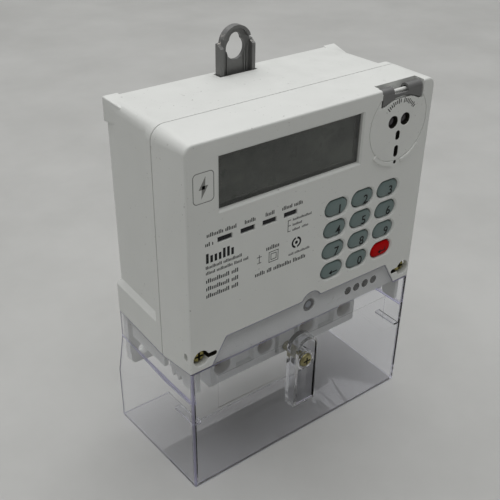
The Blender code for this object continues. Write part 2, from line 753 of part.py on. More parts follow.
def make_terminal_cover():
    """Clear box, open at the top and rear, that slides off to the front."""
    wall = COVER_WALL
    high = CASE_BOTTOM - GAP
    cover = piece("terminal_cover", CLEAR, lambda bm: cover_shell(bm, 0.0, 0.0, high, DEPTH - 0.2))
    cut(cover, "clear_hollow", lambda bm: cover_shell(bm, wall, wall, high + PAST, DEPTH + PAST))

    def top_slope(bm):
        under = RIM_BOTTOM - GAP
        profile = [(0.0, high), (PARTING, under), (DEPTH + PAST, under), (DEPTH + PAST, 75.0), (0.0, 75.0)]
        prism(bm, profile, along_x, -RIM_HALF - PAST, RIM_HALF + PAST)

    cut(cover, "clear_top_slope", top_slope)
    cut(cover, "clear_cable_way", lambda bm: block(
        bm, (-CABLE_HALF, CABLE_HALF), (CABLE_FROM, DEPTH + 2 * PAST), (-PAST, wall + PAST)))
    add(cover, "clear_flange", lambda bm: slab(
        bm, [(FLANGE_LOW_X - GAP, 60.0)] + flange_outline(GAP) + [(GAP - FLANGE_LOW_X, 60.0)],
        0.0, wall))

    def shelves(bm):
        for side in (-1, 1):
            outer, inner = side * (HALF - wall / 2), side * (HALF - SHELF_WIDTH)
            block(bm, tuple(sorted((outer, inner))), (wall / 2, 53.0), (SHELF_Z - 1.5, SHELF_Z))
            block(bm, tuple(sorted((outer, side * (HALF - 5.0)))), (wall / 2, 24.0), (37.5, 39.0))

    add(cover, "clear_shelves", shelves)

    def pocket(half, shrink):
        top = POCKET_HIGH - shrink
        arch = arc(0, top - half, half, 0, 180, 8)
        return [(half, POCKET_LOW + shrink)] + arch + [(-half, POCKET_LOW + shrink)]

    add(cover, "clear_pocket_wall", lambda bm: slab(
        bm, pocket(POCKET_HALF + wall, -wall), 0.5, POCKET_DEPTH + wall))
    cut(cover, "clear_pocket", lambda bm: slab(bm, pocket(POCKET_HALF, 0.0), -PAST, POCKET_DEPTH))
    add(cover, "clear_boss", lambda bm: slab(bm, circle(0, SCREW_Z, 4.9), 1.0, POCKET_DEPTH + 0.5))
    cut(cover, "clear_screw_way", lambda bm: turned(
        bm, 0, SCREW_Z, ((-PAST, 4.0), (2.6, 4.0), (2.6, 2.7), (POCKET_DEPTH + wall + PAST, 2.7)), 14))
    return cover


def make_cover_screw():
    profile = ((0.1, 3.0), (0.5, 3.6), (2.2, 3.6), (2.2, 2.25), (BLOCK_FRONT + 10.0, 2.25))
    piece("cover_screw", BRASS, lambda bm: turned(bm, 0, SCREW_Z, profile, 14), smooth=True)


# ---------------------------------------------------------------- fasteners and buttons

def make_sealing_screws():
    profile = ((2.2, 3.0), (2.6, 3.3), (5.6, 3.3), (5.6, 1.7), (27.5, 1.7))
    for side, name in ((-1, "left"), (1, "right")):
        piece(f"case_screw_{name}", BRASS, lambda bm, side=side: turned(
            bm, side * SEAL_X, SEAL_Z, profile, 14), smooth=True)


def make_cover_button():
    profile = ((COVER_RECESS + 0.3, BUTTON_R - 0.2), (COVER_RECESS + 0.5, BUTTON_R), (8.5, BUTTON_R))
    piece("cover_button", DARK, lambda bm: turned(bm, 0, BUTTON_Z, profile, 16),
          place(0, COVER_RECESS, BUTTON_Z), smooth=True)
    piece("cover_switch", BLACK, lambda bm: block(bm, (-5.0, 5.0), (10.5, 14.5), (70.5, 79.0)))


# ---------------------------------------------------------------- inside the case

def make_electronics():
    board_front, board_back = 9.2, 10.8
    board = piece("main_board", BOARD, lambda bm: block(
        bm, (-59.0, 59.0), (board_front, board_back), (87.0, 156.0)))
    cut(board, "board_port_notch", lambda bm: block(
        bm, (38.5, 50.0), (0.0, 20.0), (152.0, 170.0)))
    behind = board_back + GAP
    piece("latching_relay", BLACK, lambda bm: block(bm, (-2.0, 44.0), (behind, 34.0), (90.0, 124.0)))
    piece("buzzer", BLACK, lambda bm: turned(
        bm, -46.0, 100.0, ((behind, 7.0), (behind + 7.0, 7.0)), 16), smooth=True)
    piece("clock_battery", STEEL, lambda bm: prism(
        bm, circle(behind + 8.0, 131.0, 7.2), along_x, -44.0, -18.0), smooth=True)
    piece("supply_capacitor", DARK, lambda bm: prism(
        bm, circle(behind + 9.5, 148.0, 6.0), along_x, 14.0, 38.0), smooth=True)
    piece("aux_terminals", BLACK, lambda bm: block(bm, (20.5, 44.0), (6.4, 13.5), (69.6, 76.0)))
    piece("current_shunt", COPPER, lambda bm: block(bm, (-38.0, -13.0), (35.0, 37.0), (87.0, 94.0)))


def build_meter():
    make_rear_case()
    make_front_cover()
    make_case_seal()
    make_display()
    make_status_lights()
    make_keys()
    make_keypad_mat()
    make_port()
    make_port_flap()
    make_hanger()
    make_terminal_block()
    make_terminals()
    make_terminal_cover()
    make_cover_screw()
    make_sealing_screws()
    make_cover_button()
    make_electronics()


clear_scene()
build_meter()
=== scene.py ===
"""Looks of the prepaid keypad meter: casework, keys, print, clear terminal cover.

Sizes are in millimetres. A place is x to the right, depth behind the keypad
face, and height; the helpers turn it into the frame's metres.
"""

import math

import bmesh
import bpy
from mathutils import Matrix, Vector


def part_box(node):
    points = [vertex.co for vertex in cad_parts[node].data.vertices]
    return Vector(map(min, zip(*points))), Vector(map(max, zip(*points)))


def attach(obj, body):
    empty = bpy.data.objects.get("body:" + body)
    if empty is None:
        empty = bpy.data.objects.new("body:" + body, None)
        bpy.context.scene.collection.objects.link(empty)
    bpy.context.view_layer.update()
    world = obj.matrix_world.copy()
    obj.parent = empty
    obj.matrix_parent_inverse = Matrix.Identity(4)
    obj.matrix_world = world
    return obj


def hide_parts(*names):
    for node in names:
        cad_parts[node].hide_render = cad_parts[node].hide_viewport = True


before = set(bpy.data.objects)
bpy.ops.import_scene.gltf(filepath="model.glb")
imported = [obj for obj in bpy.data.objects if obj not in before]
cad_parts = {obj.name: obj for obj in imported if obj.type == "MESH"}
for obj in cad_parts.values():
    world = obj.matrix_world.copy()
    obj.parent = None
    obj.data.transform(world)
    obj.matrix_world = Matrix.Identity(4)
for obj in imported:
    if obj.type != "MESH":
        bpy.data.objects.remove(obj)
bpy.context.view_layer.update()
bpy.ops.object.select_all(action="DESELECT")

MM = 0.001
GAP = 0.3
SIDES = (-1, 1)
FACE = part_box("front_cover")[0].y        # plane of the keypad face


def span(node):
    """A CAD node's box: x from, to, depth from, to, height from, to."""
    low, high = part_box(node)
    return [v / MM for v in (low.x, high.x, low.y - FACE, high.y - FACE, low.z, high.z)]


# ---- casework ----
HALF = 64.0
CASE_LOW, CASE_TOP = 66.5, 167.0
RIM_HALF, RIM_LOW, RIM_TOP = 64.7, 63.9, 167.9
FACE_CORNER, RIM_CORNER = 3.5, 6.0
COVER_END = span("front_cover")[3]
RIM_START, RIM_END = span("rear_case")[2], 25.5
DEPTH = span("rear_case")[3]
WALL = 2.2
PANEL = 2.6
REAR_HALF, REAR_HALF_BACK, REAR_TOP = 62.5, 60.9, 166.4
LEDGE = 79.5
STEP = 2.2                               # depth of the recess for the clear flange
FLANGE_LOW_X, FLANGE_HIGH_X, FLANGE_TOP = 54.1, 46.5, 79.1
BUMP_Z, BUMP_R = 76.3, 6.2
WINDOW = (-49.2, 22.6, 137.8, 159.8)
LIGHT_X, LIGHT_Z = (-46.8, -35.9, -25.1, -14.3), 125.8
LIGHT_WIDE, LIGHT_TALL = 6.9, 2.3
KEY_X, KEY_Z = (11.5, 26.8, 42.1), (120.4, 110.1, 99.6, 89.3)
KEY_HOLE, KEY_FLANGE, KEY_CAP = (13.0, 8.0), (13.8, 8.8), (12.2, 7.2)
LEGENDS = (("1", "2", "3"), ("4", "5", "6"), ("7", "8", "9"), ("back", "0", "enter"))
PORT_X, PORT_Z, PORT_R = 43.9, 150.4, 16.9
LENS_X, LENS_Z = (40.6, 47.9), 151.7
SLOT_X = 44.3
HINGE_DEPTH, HINGE_Z = 2.75, 164.2
PIN_R, KNUCKLE_R = 0.85, 2.45
FLAP_X = (33.3, 56.6)
FLAP_LOW, FLAP_ARC = 159.9, 162.4
SCREW_X, SCREW_Z = 59.0, 73.0
AUX_X, AUX_Z = (24.0, 29.4, 34.9, 40.4), 72.6
BUTTON_Z = 74.6
COVER_SCREW_Z = 43.2
TERMINAL_X, TERMINAL_Z = (-37.4, -12.7, 12.7, 37.4), 48.9
BLOCK_HALF, BLOCK_FRONT, BLOCK_LOW = 44.3, 16.0, 38.3
LUG_X, RAIL = 53.0, (58.4, 60.4)         # fixing lugs, and the skirt rails behind the clear walls
KEYHOLE_Z, NECK_Z = 176.6, 180.1
INK_DEPTH = (-0.015, 0.05)               # print stands a hair proud of the face

# ---- clear terminal cover ----
CLEAR_WALL = 1.9
WIDEST, WIDEST_HALF, REAR_END_HALF = 21.4, 64.7, 63.0
CREASE_Z = 50.0
FLARE = ((26.0, 50.0), (35.0, 43.0), (45.0, 36.0), (61.3, 30.2))   # depth and height
POCKET_ARCH_Z, POCKET_OUTER, POCKET_INNER = 50.2, 6.6, 5.4


# ---------------------------------------------------------------- hand tools

def at(x, depth, z):
    return Vector((x * MM, FACE + depth * MM, z * MM))


def where(point):
    """x, depth and height in millimetres of a point in metres."""
    return point.x / MM, (point.y - FACE) / MM, point.z / MM


def hold(*objs):
    """Selects these objects alone, the last of them active."""
    bpy.ops.object.select_all(action="DESELECT")
    for obj in objs:
        obj.select_set(True)
    bpy.context.view_layer.objects.active = objs[-1]


def edit(obj, kind="FACE"):
    hold(obj)
    bpy.ops.object.mode_set(mode="EDIT")
    bpy.ops.mesh.select_mode(type=kind)


def edit_all(obj, kind="FACE"):
    edit(obj, kind)
    bpy.ops.mesh.select_all(action="SELECT")


def done():
    bpy.ops.object.mode_set(mode="OBJECT")


def outward():
    """In edit mode, turns every face outwards."""
    bpy.ops.mesh.select_all(action="SELECT")
    bpy.ops.mesh.normals_make_consistent(inside=False)


def pick(kind, test):
    """In edit mode, selects what test(centre, item) accepts; returns how many."""
    obj = bpy.context.edit_object
    bpy.ops.mesh.select_mode(type=kind)
    bpy.ops.mesh.select_all(action="DESELECT")
    mesh = bmesh.from_edit_mesh(obj.data)
    items = {"FACE": mesh.faces, "EDGE": mesh.edges, "VERT": mesh.verts}[kind]
    count = 0
    for item in items:
        if kind == "FACE":
            centre = item.calc_center_median()
        elif kind == "EDGE":
            centre = (item.verts[0].co + item.verts[1].co) / 2
        else:
            centre = item.co
        if test(where(centre), item):
            item.select_set(True)
            count += 1
    mesh.select_flush_mode()
    bmesh.update_edit_mesh(obj.data)
    return count


def choose(obj, kind, test):
    """Opens a piece for editing, with what test accepts selected."""
    edit(obj, kind)
    pick(kind, test)


def shift(x=0.0, depth=0.0, z=0.0):
    bpy.ops.transform.translate(value=(x * MM, depth * MM, z * MM))


def push(depth):
    """In edit mode, extrudes what is selected along the depth."""
    bpy.ops.mesh.extrude_region_move(TRANSFORM_OT_translate={"value": (0, depth * MM, 0)})


def stretch(x=1.0, depth=1.0, z=1.0, about=(0, 0, 0)):
    """In edit mode, scales what is selected about a place in metres."""
    bpy.ops.transform.resize(value=(x, depth, z), center_override=about)


def swing(angle, axis, about):
    """In edit mode, turns what is selected."""
    bpy.ops.transform.rotate(value=angle, orient_axis=axis, center_override=about)


def round_edges(obj, radius, segments, test):
    """Bevels the edges that test accepts."""
    choose(obj, "EDGE", test)
    bpy.ops.mesh.bevel(offset=radius * MM, segments=segments, affect="EDGES")
    done()


def taper(obj, x, z, about, test):
    """Draws the corners that test accepts in towards a place in metres."""
    choose(obj, "VERT", test)
    stretch(x, 1, z, about)
    done()


def front_faces(c, face):
    """For pick: the faces that look to the front."""
    return face.normal.y < -0.9


def length_along(edge, axis):
    """How far an edge runs in x (0), depth (1) or height (2)."""
    a, b = (where(vert.co)[axis] for vert in edge.verts)
    return abs(a - b)


def made(name, paint=None):
    """Names the new primitive and bakes its place into its mesh."""
    obj = bpy.context.active_object
    obj.name = obj.data.name = name
    bpy.ops.object.transform_apply(location=True, rotation=True, scale=True)
    if paint:
        obj.data.materials.append(paint)
    return obj


def block(name, x, depth, z, paint=None):
    """A box from three (low, high) pairs."""
    middle = at(*[(a + b) / 2 for a, b in (x, depth, z)])
    size = [abs(b - a) * MM for a, b in (x, depth, z)]
    bpy.ops.mesh.primitive_cube_add(size=1, location=middle, scale=size)
    return made(name, paint)


def rod(name, centre, length, radius, along="depth", sides=40, tip=None, paint=None):
    """A round bar about its centre; tip is a second radius, at the rear or right."""
    quarter = math.radians(90)
    turn = {"depth": (-quarter, 0, 0), "x": (0, quarter, 0), "z": (0, 0, 0)}[along]
    bpy.ops.mesh.primitive_cone_add(
        vertices=sides, radius1=radius * MM, radius2=(radius if tip is None else tip) * MM,
        depth=length * MM, location=at(*centre), rotation=turn)
    return made(name, paint)


def peg(name, x, z, d0, d1, radius, tip=None, sides=40, paint=None):
    """A round bar along the depth, from one depth to another."""
    return rod(name, (x, (d0 + d1) / 2, z), d1 - d0, radius, "depth", sides, tip, paint)


def outline(name, x, z, wide, tall, depth, corner=0.0, steps=8, which=None):
    """One flat face across the depth, its corners rounded (which picks some)."""
    bpy.ops.mesh.primitive_plane_add(
        size=1, location=at(x, depth, z), rotation=(math.radians(90), 0, 0))
    obj = bpy.context.active_object
    obj.scale = (wide * MM, tall * MM, 1)
    obj = made(name)
    if corner:
        edit(obj, "VERT")
        pick("VERT", lambda c, v: which is None or which(c))
        bpy.ops.mesh.bevel(offset=corner * MM, segments=steps, affect="VERTICES")
        bpy.ops.mesh.select_all(action="SELECT")
        bpy.ops.mesh.remove_doubles(threshold=0.001 * MM)
        done()
    return obj


def raise_through(obj, levels):
    """Extrudes a flat outline through (depth, x scale, z scale) levels."""
    edit_all(obj)
    low, high = box_of(obj)
    middle = (low + high) / 2
    depth = where(middle)[1]
    for new_depth, grow_x, grow_z in levels:
        push(new_depth - depth)
        if (grow_x, grow_z) != (1, 1):
            stretch(grow_x, 1, grow_z, middle)
        depth = new_depth
    outward()
    done()
    return obj


def sunk(name, x, z, wide, tall, back, corner=0.0, flare=0.4, lip=0.4, steps=6):
    """A cutter for an opening in the face, with a chamfered rim."""
    obj = outline(name, x, z, wide, tall, back, corner, steps)
    grow = ((wide + 2 * flare) / wide, (tall + 2 * flare) / tall)
    return raise_through(obj, [(lip, 1, 1), (0.0, *grow), (-2.0, 1, 1)])


def box_of(obj):
    xs, ys, zs = zip(*[v.co for v in obj.data.vertices])
    return Vector((min(xs), min(ys), min(zs))), Vector((max(xs), max(ys), max(zs)))


def joined(*objs):
    """One object of several; it keeps the last one's name."""
    hold(*objs)
    bpy.ops.object.join()
    return bpy.context.active_object


def combine(obj, tool, operation="DIFFERENCE"):
    modifier = obj.modifiers.new("shape", "BOOLEAN")
    modifier.operation = operation
    modifier.solver = "MANIFOLD"
    modifier.object = tool
    hold(obj)
    bpy.ops.object.modifier_apply(modifier=modifier.name)
    bpy.data.objects.remove(tool)
    return obj


def carve(obj, *tools):
    for tool in tools:
        combine(obj, tool)
    return obj


def fuse(obj, *tools):
    for tool in tools:
        combine(obj, tool, "UNION")
    return obj


def ease(obj, width, segments=2, angle=35):
    """A small round on the sharp edges."""
    modifier = obj.modifiers.new("ease", "BEVEL")
    modifier.width = width * MM
    modifier.segments = segments
    modifier.limit_method = "ANGLE"
    modifier.angle_limit = math.radians(angle)
    modifier.use_clamp_overlap = True
    hold(obj)
    bpy.ops.object.modifier_apply(modifier=modifier.name)
    return obj


def slice_off(obj, point, normal):
    """Cuts away what lies on the side that normal points to, and closes the cut."""
    edit_all(obj)
    bpy.ops.mesh.bisect(plane_co=at(*point), plane_no=Vector(normal).normalized(),
                        use_fill=True, clear_outer=True)
    bpy.ops.mesh.select_all(action="SELECT")
    bpy.ops.mesh.dissolve_degenerate(threshold=0.004 * MM)
    done()
    return obj


def crease(obj, point, normal, test=None):
    """Adds edges where a plane crosses the piece, or the faces that test accepts."""
    edit_all(obj)
    if test:
        pick("FACE", test)
    bpy.ops.mesh.bisect(plane_co=at(*point), plane_no=Vector(normal).normalized())
    done()
    return obj


def tidy_mesh(obj, split=False):
    """Merges what coincides; split first cuts faces with many corners into triangles."""
    edit_all(obj)
    if split:
        bpy.ops.mesh.quads_convert_to_tris(quad_method="BEAUTY", ngon_method="BEAUTY")
    bpy.ops.mesh.remove_doubles(threshold=0.002 * MM)
    outward()
    done()
    return obj


def twin(obj, name, x=0.0, depth=0.0, z=0.0):
    """A copy with its own mesh, moved."""
    copy = obj.copy()
    copy.data = obj.data.copy()
    copy.name = copy.data.name = name
    bpy.context.scene.collection.objects.link(copy)
    edit_all(copy)
    shift(x, depth, z)
    done()
    return copy


def dress(obj, *paints):
    """Gives a piece these finishes, in place of what its parts brought along."""
    obj.data.materials.clear()
    for paint in paints:
        obj.data.materials.append(paint)


def paint_where(obj, slot, test):
    """Puts one of the piece's finishes on the faces that test accepts."""
    choose(obj, "FACE", test)
    obj.active_material_index = slot
    bpy.ops.object.material_slot_assign()
    done()


def settle(obj, body, replaces=(), paint=None, smooth=32):
    """The last step for a piece: finish, shading, what it rides on and stands for."""
    if paint is not None:
        dress(obj, paint)
    hold(obj)
    if smooth:
        bpy.ops.object.shade_smooth_by_angle(angle=math.radians(smooth))
        flats = obj.modifiers.new("flats", "WEIGHTED_NORMAL")
        flats.keep_sharp = True
        bpy.ops.object.modifier_apply(modifier=flats.name)
    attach(obj, body)
    if replaces:
        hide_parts(*replaces)
    return obj


# ---------------------------------------------------------------- finishes

def finish(name):
    """A node material; returns it with its tree and its shader."""
    mat = bpy.data.materials.new(name)
    mat.use_nodes = True
    return mat, mat.node_tree, mat.node_tree.nodes["Principled BSDF"]


def feed(tree, target, inputs):
    """Sets a node's inputs, or links those given as another node's output."""
    for key, value in inputs.items():
        socket = target.inputs[key.replace("_", " ") if isinstance(key, str) else key]
        if hasattr(value, "is_output"):
            tree.links.new(value, socket)
        else:
            socket.default_value = value
    return target


def node(tree, kind, settings=None, **inputs):
    added = tree.nodes.new(kind)
    for key, value in (settings or {}).items():
        setattr(added, key, value)
    return feed(tree, added, inputs)


def grain(tree, scale, detail=3.0, roughness=0.5, along=(1, 1, 1)):
    """Noise on the object's own coordinates, in metres."""
    place = node(tree, "ShaderNodeTexCoord")
    mapped = node(tree, "ShaderNodeMapping", Vector=place.outputs["Object"], Scale=along)
    noise = node(tree, "ShaderNodeTexNoise", Vector=mapped.outputs["Vector"],
                 Scale=scale, Detail=detail, Roughness=roughness)
    return noise.outputs["Fac"]


def tones(tree, stops, *noise):
    """Noise turned into a run between (spot, colour) stops; noise is as for grain."""
    run = node(tree, "ShaderNodeValToRGB", Fac=grain(tree, *noise))
    for element, (spot, colour) in zip(run.color_ramp.elements, stops):
        element.position = spot
        element.color = (*colour, 1.0)
    return run.outputs["Color"]


def relief(tree, strength, distance, *noise):
    """A fine bump from noise, as a normal."""
    bump = node(tree, "ShaderNodeBump", Strength=strength, Distance=distance,
                Height=grain(tree, *noise))
    return bump.outputs["Normal"]


def grey(value):
    return (value, value, value)


def moulded(name, light, dark, rough, texture=0.25, pitch=2600.0, gloss=0.5,
            specks=0.0, speck_tone=0.24, spread=(0.66, 0.72)):
    """Moulded plastic: a slow drift of tone, a fine spark-eroded grain and specks, dark ones of a
    little dirt and bright ones of chipped wear that also serve as a painted glint.
    """
    mat, tree, shader = finish(name)
    colour = tones(tree, ((0.3, dark), (0.7, light)), 34.0, 4.0)
    if specks:
        spots = tones(tree, ((spread[0], grey(0.0)), (spread[1], grey(1.0))), 620.0, 5.0, 0.62)
        patches = tones(tree, ((0.44, grey(0.0)), (0.62, grey(specks))), 55.0, 3.0)
        both = node(tree, "ShaderNodeMath", {"operation": "MULTIPLY"})
        feed(tree, both, {0: spots, 1: patches})
        mix = node(tree, "ShaderNodeMix", {"data_type": "RGBA"}, Factor=both.outputs[0])
        # Speck colour: dark dirt on most finishes; on the hanger rim, bright chips that also serve
        # as a painted glint.
        dirt_and_glint = (speck_tone, speck_tone * 0.95, speck_tone * 0.88, 1.0)
        colour = feed(tree, mix, {6: colour, 7: dirt_and_glint}).outputs[2]
    wear = ((0.35, grey(rough - 0.07)), (0.7, grey(rough + 0.08)))
    feed(tree, shader, {
        "Base Color": colour,
        "Specular IOR Level": gloss,
        "Roughness": tones(tree, wear, 120.0, 5.0),
        "Normal": relief(tree, texture, 0.00006, pitch, 2.0)})
    return mat


def metal(name, light, dark, rough, along=(1, 1, 1)):
    """Plated or bare metal with tarnish and fine tool marks."""
    mat, tree, shader = finish(name)
    polish = ((0.3, grey(rough - 0.1)), (0.7, grey(rough + 0.12)))
    feed(tree, shader, {
        "Metallic": 1.0,
        "Base Color": tones(tree, ((0.35, dark), (0.68, light)), 260.0, 5.0, 0.6),
        "Roughness": tones(tree, polish, 900.0, 3.0, 0.5, along),
        "Normal": relief(tree, 0.2, 0.00005, 1800.0, 2.0, 0.5, along)})
    return mat


def clear(name, colour, rough, shadow, through=1.0):
    """Clear moulding; lamps reach what is behind it."""
    mat, tree, shader = finish(name)
    feed(tree, shader, {
        "Base Color": (*colour, 1.0),
        "Roughness": rough,
        "IOR": 1.5,
        "Transmission Weight": through,
        "Normal": relief(tree, 0.12, 0.0001, 90.0, 2.0)})
    path = node(tree, "ShaderNodeLightPath")
    window = node(tree, "ShaderNodeBsdfTransparent", Color=(*shadow, 1.0))
    mix = node(tree, "ShaderNodeMixShader", Fac=path.outputs["Is Shadow Ray"])
    feed(tree, mix, {1: shader.outputs["BSDF"], 2: window.outputs["BSDF"]})
    feed(tree, tree.nodes["Material Output"], {"Surface": mix.outputs["Shader"]})
    return mat


def display_glass_finish():
    """A dark liquid crystal under a film with cloudy patches."""
    mat, tree, shader = finish("display_cell")
    film = ((0.42, (0.085, 0.092, 0.080)), (0.6, (0.16, 0.17, 0.148)))
    feed(tree, shader, {
        "Base Color": tones(tree, film, 60.0, 4.0, 0.6, (1, 1, 1.4)),
        "Roughness": tones(tree, ((0.35, grey(0.25)), (0.7, grey(0.5))), 140.0, 4.0)})
    return mat


WHITE = moulded("white_case", (0.80, 0.81, 0.785), (0.765, 0.775, 0.75), 0.46,
                specks=0.75, spread=(0.645, 0.70))
WHITE_INSIDE = moulded("white_block", (0.79, 0.80, 0.79), (0.74, 0.75, 0.74), 0.42, pitch=1900.0)
DARK = moulded("dark_grey", (0.17, 0.17, 0.168), (0.13, 0.13, 0.129), 0.38,
               texture=0.35, pitch=2200.0)
HANGER = moulded("hanger_grey", (0.20, 0.20, 0.195), (0.12, 0.12, 0.118), 0.36,
                 texture=0.4, pitch=2000.0, specks=0.5, speck_tone=0.30)
# Hanger rim: bright chips of real wear, and a lighter tone that is a painted highlight.
RIM_WEAR_AND_HIGHLIGHT = moulded("worn_rim_and_highlight", (0.25, 0.25, 0.245), (0.13, 0.13, 0.128), 0.5,
               texture=0.5, pitch=1500.0, specks=1.0, speck_tone=0.75, spread=(0.52, 0.60))
BLACK = moulded("black_moulding", (0.022, 0.022, 0.023), (0.014, 0.014, 0.015), 0.4)
KEY_GREY = moulded("key_rubber_grey", (0.180, 0.240, 0.235), (0.155, 0.210, 0.205), 0.5,
                   texture=0.15)
KEY_RED = moulded("key_rubber_red", (0.56, 0.0, 0.001), (0.47, 0.0, 0.001), 0.55,
                  texture=0.15, gloss=0.08)
SEAL = moulded("seal_rubber_brown", (0.20, 0.175, 0.15), (0.13, 0.115, 0.10), 0.6)
INK = moulded("print_ink", (0.018, 0.018, 0.019), (0.012, 0.012, 0.013), 0.55,
              texture=0.1, gloss=0.2)
GREY_INK = moulded("print_ink_grey", (0.26, 0.26, 0.25), (0.21, 0.21, 0.20), 0.55, texture=0.1)
PALE = moulded("pale_plunger", (0.30, 0.32, 0.36), (0.24, 0.26, 0.30), 0.4)
CASE_SCREW = metal("brass_passivated", (0.42, 0.37, 0.13), (0.17, 0.15, 0.05), 0.34)
# Painted shade: a near-black finish for the walls of deep holes, slots and cross recesses, where
# shade falls.
PAINTED_SHADE = moulded("painted_recess_shade", (0.030, 0.027, 0.018), (0.012, 0.011, 0.009), 0.6)
COVER_SCREW = metal("olive_brass", (0.47, 0.43, 0.23), (0.25, 0.22, 0.11), 0.36)
TERMINAL_SCREW = metal("coppery_brass", (0.55, 0.37, 0.22), (0.34, 0.22, 0.13), 0.38)
BRASS = metal("clamp_brass", (0.66, 0.52, 0.26), (0.46, 0.35, 0.17), 0.32)
STEEL = metal("zinc_plate", (0.55, 0.56, 0.57), (0.40, 0.41, 0.42), 0.36, (1, 1, 6))
COPPER = metal("bare_copper", (0.72, 0.40, 0.26), (0.50, 0.26, 0.16), 0.35)
CLEAR = clear("clear_polycarbonate", (0.975, 0.978, 1.0), 0.02, (0.98, 0.98, 0.99))
# Painted light: a half-opaque violet finish for the glow that gathers in the clear walls' cut ends.
CLEAR_EDGE = clear("clear_edge", (0.56, 0.54, 0.74), 0.3, (0.90, 0.89, 0.96), through=0.6)
# Painted highlight: a pale half-opaque finish for clear edges that shine white with piped light.
PALE_EDGE = clear("pale_edge", (0.90, 0.89, 0.97), 0.35, (0.96, 0.96, 0.98), through=0.3)
SMOKED = clear("smoked_pane", (0.60, 0.62, 0.595), 0.03, (0.7, 0.7, 0.7))
LENS = moulded("infrared_lens", (0.060, 0.052, 0.058), (0.030, 0.026, 0.030), 0.22, texture=0.0)
WINDOW_BLACK = moulded("window_black", (0.012, 0.012, 0.016), (0.007, 0.007, 0.009), 0.3,
                       texture=0.0, gloss=0.25)
CELL = display_glass_finish()
BOARD = moulded("solder_mask", (0.02, 0.16, 0.06), (0.012, 0.11, 0.04), 0.35)
GUIDE = moulded("milky_guide", (0.72, 0.74, 0.75), (0.66, 0.68, 0.70), 0.3)


# ---------------------------------------------------------------- case halves

def arc_bar(name, cx, cz, inner, outer, start, end, d0, d1, steps=14):
    """Part of a ring on the face, from one angle in degrees to another.

    A thin block is flattened to its upper face, turned to the start and spun.
    """
    centre = at(cx, 0, cz)
    obj = block(name, (cx + inner, cx + outer), (d0, d1), (cz - 0.01, cz + 0.01))
    edit(obj)
    for low_face in (cz, cz + 0.005):
        pick("FACE", lambda c, f: c[2] < low_face)
        bpy.ops.mesh.delete(type="FACE")
    bpy.ops.mesh.select_all(action="SELECT")
    stretch(z=0, about=centre)
    bpy.ops.mesh.remove_doubles(threshold=0.05 * MM)
    bpy.ops.mesh.select_all(action="SELECT")
    swing(math.radians(start), "Y", centre)
    bpy.ops.mesh.select_all(action="SELECT")
    bpy.ops.mesh.spin(steps=steps, angle=math.radians(end - start), center=centre, axis=(0, 1, 0))
    outward()
    done()
    return obj


def loft(name, rings):
    """Joins flat outlines of equal count, front to back, and closes both ends."""
    depths = [where(ring.data.vertices[0].co)[1] for ring in rings]
    obj = joined(*rings)
    obj.name = obj.data.name = name
    edit_all(obj, "EDGE")
    bpy.ops.mesh.delete(type="ONLY_FACE")

    def pick_rings(*chosen):
        pick("EDGE", lambda c, e: min(abs(c[1] - d) for d in chosen) < 0.01
             and length_along(e, 1) < 0.01)

    for near, far in zip(depths, depths[1:]):
        pick_rings(near, far)
        bpy.ops.mesh.bridge_edge_loops()
    for end in (depths[0], depths[-1]):
        pick_rings(end)
        bpy.ops.mesh.edge_face_add()
    outward()
    done()
    return obj


def framed(name, half, low, high, depth, corner):
    """An outline about x = 0 with its two upper corners rounded."""
    middle = (low + high) / 2
    return outline(name, 0, middle, 2 * half, high - low, depth, corner, 8, lambda c: c[2] > middle)


def flange_plate(name, inset, d0, d1, low):
    """The stepped tongue between case and clear cover, with its round bump."""
    low_x = FLANGE_LOW_X - inset
    obj = block(name, (-low_x, low_x), (d0, d1), (low, FLANGE_TOP - inset))
    rise, run = FLANGE_TOP - CASE_LOW, FLANGE_LOW_X - FLANGE_HIGH_X
    for side in SIDES:
        slice_off(obj, (side * low_x, 0, CASE_LOW - inset * 0.5), (side * rise, 0, run))
    return fuse(obj, peg("bump", 0, BUMP_Z, d0 - 0.001, d1 + 0.001, BUMP_R - inset, sides=48))


